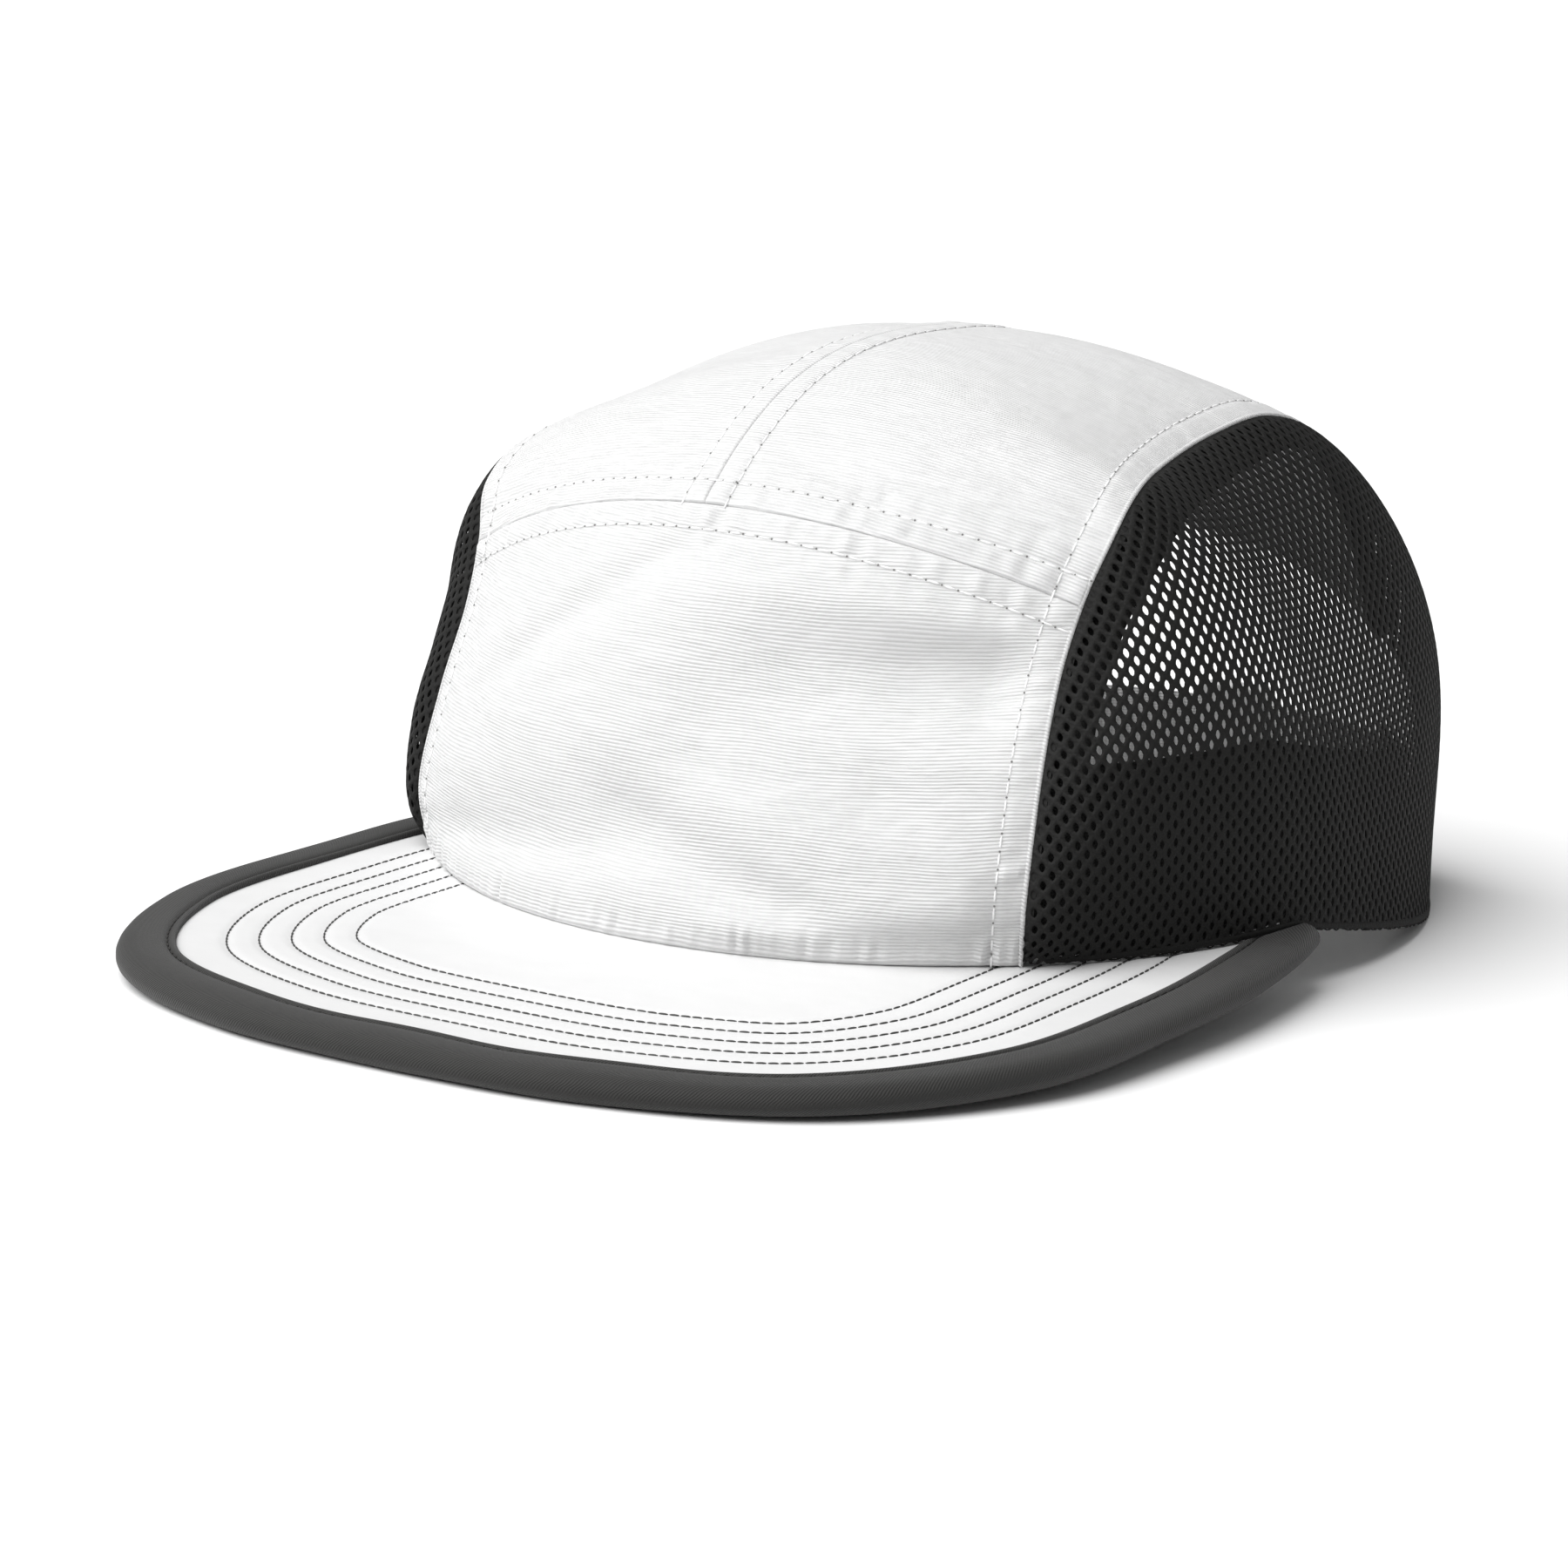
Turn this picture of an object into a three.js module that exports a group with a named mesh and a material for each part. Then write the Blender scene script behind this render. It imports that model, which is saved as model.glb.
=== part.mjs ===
// Five panel cap: a white front panel, two white top panels and two mesh side panels over
// a flat bound peak, with a sweatband inside and a strap across the opening at the back.
// Millimetres, +Z up, the peak points to -Y, +X is the wearer's left.
// The origin is the middle of the base of the whole cap's box.
import * as THREE from "three";

// Named sizes

const CROWN_HEIGHT = 104;
const HEM_HALF_WIDTH = 88.5;
const HEM_FRONT = 83;
const HEM_BACK = 105;
const HALF_DEPTH = (HEM_FRONT + HEM_BACK) / 2;
const CROWN_X = -5.8;
const CROWN_Y = 25.4;
const CORNER_ANGLE = 48;
const BACK_ANGLE = 148;
const WALL = 1.2;
const GAP = 0.3;
const BULGE = 12;
const BULGE_POWER = 0.68;

const LEAN_SIDE = 2.0;
const LEAN_TURN = 3.0;
const LEAN_FROM = 10;
const LEAN_FULL = 70;

const PEAK_X = 0;
const PEAK_Y = -27.6;
const PEAK_RADIUS = 110;
const PEAK_THICKNESS = 2.8;
const PEAK_TOP = 4.0;
const PEAK_SLOPE = 0.0495;
const PEAK_FRONT = -130.6;
const PEAK_DROOP = 0.8;
const PEAK_UNDER_HEM = 6;
const HEM_ABOVE_PEAK = 0.5;
const HEM_LEAVES_PEAK = 86;
const HEM_LANDS = 126;
const HEM_ABOVE_FLOOR = 0.1;

const BINDING_WIDTH = 9;
const BINDING_CLOTH = 0.9;

const BAND_HEIGHT = 29.5;
const BAND_INSET = 3.2;
const BAND_CLOTH = 1.5;
const BAND_FRONT_LEAN = 8;
const BAND_SIDE_LEAN = 4;
const BAND_END = 139;

const TAPE_WIDTH = 9.5;
const TAPE_CLOTH = 0.7;
const TAPE_FOOT = 2.35;
const TAPE_BEHIND = 0.7;

const STRAP_WIDTH = 20;
const STRAP_CLOTH = 1.4;
const STRAP_INSET = 0.85;
const STRAP_LIFT = 4;
const STRAP_END = 144;
const SLIDE_LENGTH = 14;
const SLIDE_RIM = 2.4;
const SLIDE_ROOM = 0.6;

const OPENING_ARCH = 0.35;

// Tables of shares

// One row per cross section of the white strip, from above the hem over the top to the back.
// Y is a share of HALF_DEPTH behind the crown's centre, X of HEM_HALF_WIDTH, Z of CROWN_HEIGHT.
// arc is the section's own bend in degrees, bulge a share of BULGE for the mesh beside it.
const CROWN_ROWS = [
  // middleY, middleZ, seamX, seamY, seamZ, arc, bulge
  [-0.856, 0.194, 0.758, -0.603, 0.206, 49, 0.31],
  [-0.793, 0.411, 0.747, -0.549, 0.373, 38, 0.55],
  [-0.708, 0.6, 0.738, -0.482, 0.509, 30, 0.65],
  [-0.604, 0.755, 0.75, -0.424, 0.623, 26, 0.69],
  [-0.481, 0.863, 0.775, -0.373, 0.721, 26, 0.75],
  [-0.339, 0.94, 0.756, -0.27, 0.791, 29, 0.86],
  [-0.167, 0.985, 0.69, -0.1, 0.818, 32, 0.97],
  [0.044, 0.998, 0.645, 0.113, 0.849, 38, 1.03],
  [0.279, 0.979, 0.625, 0.325, 0.864, 44, 1.05],
  [0.524, 0.887, 0.595, 0.522, 0.81, 50, 1.02],
  [0.757, 0.727, 0.565, 0.692, 0.655, 54, 0.92],
  [0.939, 0.499, 0.53, 0.833, 0.44, 56, 0.55],
];
const CROSS_SEAM_ROW = 4;
const LAST_ROW = CROWN_ROWS.length;

// One row per dent of the front panel: where it is across (share of the half width, left is
// plus) and up (in crown rows), its half sizes in the same measures, its turn and its depth.
const FRONT_DENTS = [
  // across, up, halfAcross, halfUp, turn, depth in mm
  [0.52, 3.0, 0.34, 0.42, -8, 2.2],
  [0.4, 2.1, 0.2, 0.5, 25, 1.6],
  [-0.12, 1.1, 0.36, 0.34, -24, 2.0],
  [-0.62, 3.1, 0.3, 0.3, 6, 1.2],
];

// Radius of the peak's edge about its own centre, a share of PEAK_RADIUS each 20 degrees.
const PEAK_ROWS = [0.935, 0.966, 1.001, 0.951, 0.86, 0.838, 0.865];
const PEAK_ROW_STEP = 20;

// Curves and surfaces

const radians = THREE.MathUtils.degToRad;
const smooth = THREE.MathUtils.smoothstep;

function alongRows(rows, t) {
  const last = rows.length - 1;
  const i = Math.min(Math.max(Math.floor(t), 0), last - 1);
  const f = t - i;
  const row = (k) => {
    if (k < 0) return rows[0].map((v, c) => 2 * v - rows[1][c]);
    if (k > last) return rows[last].map((v, c) => 2 * v - rows[last - 1][c]);
    return rows[k];
  };
  const [p, q, r, s] = [row(i - 1), row(i), row(i + 1), row(i + 2)];
  return q.map((v, c) => {
    const bend = 2 * p[c] - 5 * v + 4 * r[c] - s[c];
    const twist = -p[c] + 3 * v - 3 * r[c] + s[c];
    return v + 0.5 * f * (r[c] - p[c] + f * (bend + f * twist));
  });
}

function peakTop(x, y) {
  const share = (x - PEAK_X) / HEM_HALF_WIDTH;
  return PEAK_TOP + PEAK_SLOPE * (y - PEAK_FRONT) - PEAK_DROOP * share * share;
}

// The crown leans to the wearer's right and turns on the peak, as the soft cloth stands.
function lean(point) {
  const { x, y, z } = point;
  const share = smooth(z, LEAN_FROM, LEAN_FULL) * Math.tan(radians(LEAN_SIDE));
  const leant = x - share * z;
  const turn = radians(LEAN_TURN);
  return new THREE.Vector3(
    CROWN_X + leant * Math.cos(turn) + y * Math.sin(turn),
    CROWN_Y - leant * Math.sin(turn) + y * Math.cos(turn),
    z + share * x
  );
}

// The hem before the lean, about the crown's centre; angle 0 is the front, plus is the left.
function hemPoint(angle, inset = 0) {
  const a = radians(angle);
  const x = (HEM_HALF_WIDTH - inset) * Math.sin(a);
  const y = -((Math.cos(a) > 0 ? HEM_FRONT : HEM_BACK) - inset) * Math.cos(a);
  const flat = lean(new THREE.Vector3(x, y, 0));
  const past = (Math.abs(angle) - HEM_LEAVES_PEAK) / (HEM_LANDS - HEM_LEAVES_PEAK);
  const drop = 1 - Math.pow(1 - THREE.MathUtils.clamp(past, 0, 1), 1.5);
  const z = (peakTop(flat.x, flat.y) + HEM_ABOVE_PEAK) * (1 - drop) + HEM_ABOVE_FLOOR * drop;
  return new THREE.Vector3(x, y, z);
}

const sectionRows = (() => {
  const middle = hemPoint(0);
  const corner = hemPoint(CORNER_ANGLE);
  const first = [middle.y, middle.z, corner.x, corner.y, corner.z, CORNER_ANGLE, 0];
  const others = CROWN_ROWS.map(([middleY, middleZ, seamX, seamY, seamZ, arc, bulge]) => [
    middleY * HALF_DEPTH,
    middleZ * CROWN_HEIGHT,
    seamX * HEM_HALF_WIDTH,
    seamY * HALF_DEPTH,
    seamZ * CROWN_HEIGHT,
    arc,
    bulge * BULGE,
  ]);
  return [first, ...others];
})();

function stripPoint(t, u) {
  const [middleY, middleZ, seamX, seamY, seamZ, arc] = alongRows(sectionRows, t);
  const whole = radians(arc);
  const side = Math.sin(u * whole) / Math.sin(whole);
  const fall = (1 - Math.cos(u * whole)) / (1 - Math.cos(whole));
  return lean(
    new THREE.Vector3(
      seamX * side,
      middleY + (seamY - middleY) * fall,
      middleZ + (seamZ - middleZ) * fall
    )
  );
}

function seamPoint(t) {
  const [, , seamX, seamY, seamZ] = alongRows(sectionRows, t);
  return new THREE.Vector3(seamX, seamY, seamZ);
}

// side is 1 for the wearer's left and -1 for the right; w runs from the seam to the hem.
function sidePoint(side, t, w) {
  const seam = seamPoint(t);
  const along = seamPoint(t + 0.01).sub(seamPoint(t - 0.01));
  const hem = hemPoint(CORNER_ANGLE + ((BACK_ANGLE - CORNER_ANGLE) * t) / LAST_ROW);
  const chord = hem.clone().sub(seam);
  const outward = along.cross(chord).normalize();
  if (outward.x < 0) outward.negate();
  const bulge = alongRows(sectionRows, t)[6] * Math.sin(Math.PI * Math.pow(w, BULGE_POWER));
  const point = seam.addScaledVector(chord, w).addScaledVector(outward, bulge);
  point.x *= side;
  return lean(point);
}

const crownHeart = new THREE.Vector3(CROWN_X, CROWN_Y, CROWN_HEIGHT / 3);

function inwardOf(pointAt, a, b, stepA, stepB) {
  const here = pointAt(a, b);
  const alongA = pointAt(a + stepA, b).sub(pointAt(a - stepA, b));
  const alongB = pointAt(a, b + stepB).sub(pointAt(a, b - stepB));
  const inward = alongA.cross(alongB).normalize();
  return inward.dot(crownHeart.clone().sub(here)) < 0 ? inward.negate() : inward;
}

function seamInward(side, t) {
  const strip = inwardOf(stripPoint, t, side * 0.985, 0.02, 0.01);
  const mesh = inwardOf((p, q) => sidePoint(side, p, q), Math.max(t, 0.3), 0.04, 0.02, 0.02);
  return strip.add(mesh).normalize();
}

function stripInward(t, u) {
  const own = inwardOf(stripPoint, t, u, 0.02, 0.01);
  const share = smooth(Math.abs(u), 0.88, 1);
  return own.lerp(seamInward(Math.sign(u) || 1, t), share).normalize();
}

function sideInward(side, t, w) {
  const place = Math.min(Math.max(w, 0.05), 0.97);
  const own = inwardOf((p, q) => sidePoint(side, p, q), Math.max(t, 0.3), place, 0.02, 0.02);
  const share = 1 - smooth(w, 0, 0.14);
  return own.lerp(seamInward(side, t), share).normalize();
}

// Solids from sheets

// Turns a closed set of faces so that they face outwards.
function closedGeometry(points, faces) {
  let volume = 0;
  for (const [a, b, c] of faces) {
    volume += points[a].dot(points[b].clone().cross(points[c]));
  }
  const turned = volume < 0 ? faces.map(([a, b, c]) => [a, c, b]) : faces;
  const geometry = new THREE.BufferGeometry();
  geometry.setFromPoints(points);
  geometry.setIndex(turned.flat());
  geometry.computeVertexNormals();
  return geometry;
}

// A sheet of cloth between the depths near and far below a surface, over a grid of
// parameters from 0 to 1, closed round its rim.
function sheetGeometry({ at, columns, rows, near, far }) {
  const points = [];
  const faces = [];
  const wide = columns + 1;
  const size = wide * (rows + 1);
  for (const depth of [near, far]) {
    for (let j = 0; j <= rows; j++) {
      for (let i = 0; i <= columns; i++) {
        const { point, inward } = at(i / columns, j / rows);
        points.push(point.clone().addScaledVector(inward, depth));
      }
    }
  }
  const quad = (a, b, c, d) => faces.push([a, b, c], [a, c, d]);
  for (let j = 0; j < rows; j++) {
    for (let i = 0; i < columns; i++) {
      const k = j * wide + i;
      quad(k, k + 1, k + wide + 1, k + wide);
      quad(size + k, size + k + wide, size + k + wide + 1, size + k + 1);
    }
  }
  for (let i = 0; i < columns; i++) {
    const top = rows * wide + i;
    quad(i, size + i, size + i + 1, i + 1);
    quad(top, top + 1, size + top + 1, size + top);
  }
  for (let j = 0; j < rows; j++) {
    const left = j * wide;
    const right = left + columns;
    quad(left, left + wide, size + left + wide, size + left);
    quad(right, size + right, size + right + wide, right + wide);
  }
  return closedGeometry(points, faces);
}

// Sweeps closed profiles of equal point count into one solid with flat ends.
function sweptGeometry(sections, outline) {
  const points = sections.flat();
  const count = outline.length;
  const faces = [];
  for (let k = 0; k + 1 < sections.length; k++) {
    for (let i = 0; i < count; i++) {
      const a = k * count + i;
      const b = k * count + ((i + 1) % count);
      faces.push([a, b, b + count], [a, b + count, a + count]);
    }
  }
  const last = (sections.length - 1) * count;
  for (const [a, b, c] of THREE.ShapeUtils.triangulateShape(outline, [])) {
    faces.push([c, b, a], [last + a, last + b, last + c]);
  }
  return closedGeometry(points, faces);
}

function cloth(name, colour, roughness) {
  return new THREE.MeshStandardMaterial({ name, color: colour, roughness, metalness: 0 });
}

function piece(name, geometry, material) {
  const mesh = new THREE.Mesh(geometry, material);
  mesh.name = name;
  return mesh;
}

// Panels

function frontDent(t, u) {
  let depth = 0;
  for (const [across, up, halfAcross, halfUp, turn, deep] of FRONT_DENTS) {
    const a = (u - across) / halfAcross;
    const b = (t - up) / halfUp;
    const c = Math.cos(radians(turn));
    const s = Math.sin(radians(turn));
    const far = (a * c + b * s) ** 2 + (b * c - a * s) ** 2;
    depth += deep * Math.exp(-2 * far);
  }
  const rim = smooth(t, 0, 0.8) * (1 - smooth(t, 3.4, 4)) * (1 - smooth(Math.abs(u), 0.8, 1));
  return depth * rim;
}

function frontPanel() {
  const edge = 1 - GAP / 2 / HEM_HALF_WIDTH;
  const top = CROSS_SEAM_ROW - GAP / 40;
  const at = (i, j) => {
    const u = edge * (2 * i - 1);
    const t = top * j;
    const inward = stripInward(t, u);
    return { point: stripPoint(t, u).addScaledVector(inward, frontDent(t, u)), inward };
  };
  return sheetGeometry({ at, columns: 24, rows: 14, near: 0, far: WALL });
}

function topPanel(side) {
  const slit = GAP / 2 / HEM_HALF_WIDTH;
  const start = CROSS_SEAM_ROW + GAP / 40;
  const at = (i, j) => {
    const u = slit + (1 - 2 * slit) * i;
    const end = LAST_ROW - OPENING_ARCH * (1 - u * u);
    const t = start + (end - start) * j;
    return { point: stripPoint(t, side * u), inward: stripInward(t, side * u) };
  };
  return sheetGeometry({ at, columns: 10, rows: 24, near: 0, far: WALL });
}

function sidePanel(side) {
  const start = 0.12;
  const slit = 0.0015;
  const at = (i, j) => {
    const t = start + (LAST_ROW - start) * i;
    const w = slit + (1 - slit) * Math.pow(j, 1.45);
    return { point: sidePoint(side, t, w), inward: sideInward(side, t, w) };
  };
  return sheetGeometry({ at, columns: 30, rows: 15, near: 0, far: WALL });
}

// The tape lies on the inside of the mesh, along the arch seam.
function seamTape(side) {
  const end = LAST_ROW - 0.1;
  const at = (i, j) => {
    const t = TAPE_FOOT + (end - TAPE_FOOT) * i;
    const seam = sidePoint(side, t, 0.01);
    const span = seam.distanceTo(sidePoint(side, t, 0.1));
    const w = 0.02 + ((0.1 * TAPE_WIDTH) / span) * j;
    return { point: sidePoint(side, t, w), inward: sideInward(side, t, w) };
  };
  return sheetGeometry({
    at,
    columns: 26,
    rows: 2,
    near: WALL + TAPE_BEHIND,
    far: WALL + TAPE_BEHIND + TAPE_CLOTH,
  });
}

function hemInward(angle) {
  const a = radians(angle);
  const depth = Math.cos(a) > 0 ? HEM_FRONT : HEM_BACK;
  return new THREE.Vector3(-Math.sin(a) / HEM_HALF_WIDTH, Math.cos(a) / depth, 0).normalize();
}

function turned(vector) {
  return vector.clone().applyAxisAngle(new THREE.Vector3(0, 0, 1), -radians(LEAN_TURN));
}

function sweatband() {
  const at = (i, j) => {
    const angle = BAND_END * (2 * i - 1);
    const inward = hemInward(angle);
    const facing = Math.max(Math.cos(radians(angle)), 0) ** 2;
    const leanIn = BAND_SIDE_LEAN + (BAND_FRONT_LEAN - BAND_SIDE_LEAN) * facing;
    const point = hemPoint(angle).addScaledVector(inward, BAND_INSET + leanIn * j);
    point.z += GAP + BAND_HEIGHT * j;
    return { point: lean(point), inward: turned(inward) };
  };
  return sheetGeometry({ at, columns: 56, rows: 3, near: 0, far: BAND_CLOTH });
}

// Peak

function peakEdge(angle) {
  const rows = PEAK_ROWS.map((share) => [share * PEAK_RADIUS]);
  const step = Math.abs(angle) / PEAK_ROW_STEP;
  const mirrored = [rows[1], ...rows];
  const [radius] = alongRows(mirrored, step + 1);
  const a = radians(angle);
  return new THREE.Vector2(PEAK_X + radius * Math.sin(a), PEAK_Y - radius * Math.cos(a));
}

// Whether a plan point lies inside the hem line drawn in by inset (out by a minus inset).
function insideHem(point, inset) {
  const turn = radians(LEAN_TURN);
  const dx = point.x - CROWN_X;
  const dy = point.y - CROWN_Y;
  const x = dx * Math.cos(turn) - dy * Math.sin(turn);
  const y = dx * Math.sin(turn) + dy * Math.cos(turn);
  const depth = (y < 0 ? HEM_FRONT : HEM_BACK) - inset;
  return (x / (HEM_HALF_WIDTH - inset)) ** 2 + (y / depth) ** 2 < 1;
}

// How far a line can run from a point in a direction before it meets the inset hem line.
function clearRun(from, direction, limit, inset) {
  if (insideHem(from, inset)) return 0;
  let near = 0;
  let far = limit;
  if (!insideHem(from.clone().addScaledVector(direction, limit), inset)) return limit;
  for (let k = 0; k < 30; k++) {
    const middle = (near + far) / 2;
    if (insideHem(from.clone().addScaledVector(direction, middle), inset)) far = middle;
    else near = middle;
  }
  return near;
}

function edgeInward(angle) {
  const along = peakEdge(angle + 0.5).sub(peakEdge(angle - 0.5)).normalize();
  return new THREE.Vector2(-along.y, along.x);
}

// The largest angle on one side at which the edge still has the given room beside it.
function lastAngle(side, roomAt, room) {
  let angle = 60;
  while (angle < 118 && roomAt(side * (angle + 0.25)) > room) angle += 0.25;
  return side * angle;
}

function plateRun(angle) {
  const edge = peakEdge(angle);
  const centre = new THREE.Vector2(PEAK_X, PEAK_Y);
  const direction = centre.clone().sub(edge).normalize();
  return clearRun(edge, direction, edge.distanceTo(centre), PEAK_UNDER_HEM);
}

function peakPlate() {
  const first = lastAngle(-1, plateRun, 3);
  const last = lastAngle(1, plateRun, 3);
  const centre = new THREE.Vector2(PEAK_X, PEAK_Y);
  const down = new THREE.Vector3(0, 0, -1);
  const at = (i, j) => {
    const angle = first + (last - first) * i;
    const edge = peakEdge(angle);
    const direction = centre.clone().sub(edge).normalize();
    const flat = edge.addScaledVector(direction, plateRun(angle) * j);
    return { point: new THREE.Vector3(flat.x, flat.y, peakTop(flat.x, flat.y)), inward: down };
  };
  return sheetGeometry({ at, columns: 56, rows: 3, near: 0, far: PEAK_THICKNESS });
}

function bindingRun(angle) {
  return clearRun(peakEdge(angle), edgeInward(angle), BINDING_WIDTH, -2 * GAP);
}

function peakBinding() {
  const first = lastAngle(-1, bindingRun, 1.6);
  const last = lastAngle(1, bindingRun, 1.6);
  const steps = 60;
  const outer = GAP + BINDING_CLOTH;
  const half = PEAK_THICKNESS / 2;
  const tall = half + outer;
  const profile = (width) => [
    [GAP, half + GAP],
    [GAP, -half - GAP],
    [-width, -half - GAP],
    [-width, -tall],
    [-0.6, -tall],
    [0.5, -tall + 0.5],
    [outer, -half + 0.3],
    [outer, half - 0.3],
    [0.5, tall - 0.5],
    [-0.6, tall],
    [-width, tall],
    [-width, half + GAP],
  ];
  const sections = [];
  for (let k = 0; k <= steps; k++) {
    const angle = first + ((last - first) * k) / steps;
    const edge = peakEdge(angle);
    const inward = edgeInward(angle);
    sections.push(
      profile(bindingRun(angle)).map(([out, up]) => {
        const flat = edge.clone().addScaledVector(inward, -out);
        const level = peakTop(flat.x, flat.y) - half;
        return new THREE.Vector3(flat.x, flat.y, level + up);
      })
    );
  }
  const outline = profile(BINDING_WIDTH).map(([out, up]) => new THREE.Vector2(out, up));
  return sweptGeometry(sections, outline);
}

// Back strap

function strapPlace(angle, lift) {
  const point = hemPoint(angle, STRAP_INSET);
  point.z = STRAP_LIFT + lift;
  return lean(point);
}

function backStrap() {
  const at = (i, j) => {
    const angle = STRAP_END + (360 - 2 * STRAP_END) * i;
    const inward = turned(hemInward(angle));
    return { point: strapPlace(angle, STRAP_WIDTH * j), inward };
  };
  return sheetGeometry({ at, columns: 16, rows: 1, near: 0, far: STRAP_CLOTH });
}

function strapSlide() {
  const wide = STRAP_CLOTH / 2 + SLIDE_ROOM;
  const tall = STRAP_WIDTH / 2 + SLIDE_ROOM;
  const box = (across, up) =>
    [
      [-across, -up],
      [across, -up],
      [across, up],
      [-across, up],
    ].map(([x, y]) => new THREE.Vector2(x, y));
  const shape = new THREE.Shape(box(wide + SLIDE_RIM / 2, tall + SLIDE_RIM));
  shape.holes.push(new THREE.Path(box(wide, tall).reverse()));
  const geometry = new THREE.ExtrudeGeometry(shape, { depth: SLIDE_LENGTH, bevelEnabled: false });
  geometry.translate(0, 0, -SLIDE_LENGTH / 2);
  const across = turned(new THREE.Vector3(0, 1, 0));
  const up = new THREE.Vector3(0, 0, 1);
  const along = across.clone().cross(up);
  geometry.applyMatrix4(new THREE.Matrix4().makeBasis(across, up, along));
  const middle = strapPlace(180, STRAP_WIDTH / 2);
  middle.addScaledVector(turned(hemInward(180)), STRAP_CLOTH / 2);
  geometry.translate(middle.x, middle.y, middle.z);
  return geometry;
}

const white = () => cloth("white ribbed nylon", 0xe6e6e6, 0.62);
const mesh = () => cloth("black net", 0x20201e, 0.8);
const dark = () => cloth("dark band cloth", 0x1b1b1b, 0.85);

const cap = new THREE.Group();
cap.name = "five_panel_cap";
cap.add(
  piece("front_panel", frontPanel(), white()),
  piece("top_panel_left", topPanel(1), white()),
  piece("top_panel_right", topPanel(-1), white()),
  piece("side_panel_left", sidePanel(1), mesh()),
  piece("side_panel_right", sidePanel(-1), mesh()),
  piece("seam_tape_left", seamTape(1), dark()),
  piece("seam_tape_right", seamTape(-1), dark()),
  piece("sweatband", sweatband(), dark()),
  piece("peak", peakPlate(), cloth("white peak cloth", 0xeeeeee, 0.55)),
  piece("peak_binding", peakBinding(), cloth("charcoal twill", 0x3a3a34, 0.75)),
  piece("back_strap", backStrap(), cloth("pale webbing", 0xd4d4d4, 0.8)),
  piece("strap_slide", strapSlide(), cloth("pale plastic", 0xd4d4d4, 0.45))
);

export default cap;
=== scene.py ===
import math

import bpy
import numpy as np
from mathutils import Matrix, Vector


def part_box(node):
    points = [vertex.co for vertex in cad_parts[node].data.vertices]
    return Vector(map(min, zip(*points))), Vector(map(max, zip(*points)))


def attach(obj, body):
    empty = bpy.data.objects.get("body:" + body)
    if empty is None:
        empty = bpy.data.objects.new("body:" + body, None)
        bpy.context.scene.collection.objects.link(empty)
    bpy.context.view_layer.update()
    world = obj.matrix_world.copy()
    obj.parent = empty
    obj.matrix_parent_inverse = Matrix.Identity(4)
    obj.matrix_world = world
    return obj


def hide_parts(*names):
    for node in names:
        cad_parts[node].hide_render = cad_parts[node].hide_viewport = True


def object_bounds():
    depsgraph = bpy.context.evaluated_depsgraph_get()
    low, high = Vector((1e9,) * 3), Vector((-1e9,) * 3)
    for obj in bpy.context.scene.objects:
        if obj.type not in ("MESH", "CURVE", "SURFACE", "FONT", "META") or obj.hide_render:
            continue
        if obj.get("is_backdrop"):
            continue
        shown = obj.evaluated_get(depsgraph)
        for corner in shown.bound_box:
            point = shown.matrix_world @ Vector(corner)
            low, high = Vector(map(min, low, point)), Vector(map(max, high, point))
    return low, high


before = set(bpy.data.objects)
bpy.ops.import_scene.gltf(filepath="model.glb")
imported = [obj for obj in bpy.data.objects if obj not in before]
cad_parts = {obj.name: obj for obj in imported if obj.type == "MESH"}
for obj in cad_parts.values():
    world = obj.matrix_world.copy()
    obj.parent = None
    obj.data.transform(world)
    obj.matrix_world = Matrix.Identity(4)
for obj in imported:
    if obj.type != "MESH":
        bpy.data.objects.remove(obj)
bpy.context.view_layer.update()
MM = 0.001

# The peak
# A flat half-moon of stiff board under smooth white cloth. Five rows of dark thread follow
# its edge and press fine channels into the cloth, and its back edge lies under the crown.

PEAK_Y = -27.6 * MM
PEAK_RADIUS = 110 * MM
PEAK_SHARES = [0.935, 0.966, 1.001, 0.951, 0.86, 0.838, 0.865]
PEAK_STEP = 20
PEAK_FRONT = -130.6 * MM
PEAK_TOP = 4.0 * MM
PEAK_SLOPE = 0.0495
PEAK_DROOP = 0.8 * MM
PEAK_BOARD = 2.8 * MM
PEAK_UNDER_HEM = 6 * MM
FIRST_ROW = 17.45 * MM
ROW_STEP = 5.49 * MM
ROWS = 5
ROW_CHANNEL = 0.32 * MM
ROW_PITCH = 1.95 * MM
ROW_END = 1.5 * MM
PEAK_THREAD = 0.18 * MM
THREAD_SUNK = 0.55
PLATE_END_ROOM = 3 * MM
HEM_HALF_WIDTH = 88.5 * MM
HEM_FRONT = 83 * MM
HEM_BACK = 105 * MM
CROWN_X = -5.8 * MM
CROWN_Y = 25.4 * MM
LEAN_TURN = math.radians(3)


def along_rows(rows, t):
    """A smooth curve through the rows of a table, with one row at each whole t."""
    rows = np.asarray(rows, float).reshape(len(rows), -1)
    t = np.asarray(t, float)
    whole = np.vstack([2 * rows[0] - rows[1], rows, 2 * rows[-1] - rows[-2]])
    i = np.clip(np.floor(t).astype(int), 0, len(rows) - 2)
    f = (t - i)[..., None]
    p, q, r, s = whole[i], whole[i + 1], whole[i + 2], whole[i + 3]
    bend = 2 * p - 5 * q + 4 * r - s
    twist = -p + 3 * q - 3 * r + s
    return q + 0.5 * f * (r - p + f * (bend + f * twist))


def size_of(steps):
    return np.linalg.norm(steps, axis=-1)


def unit(ways):
    return ways / np.maximum(size_of(ways), 1e-12)[..., None]


def smooth(value, low, high):
    share = np.clip((value - low) / (high - low), 0, 1)
    return share * share * (3 - 2 * share)


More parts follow.
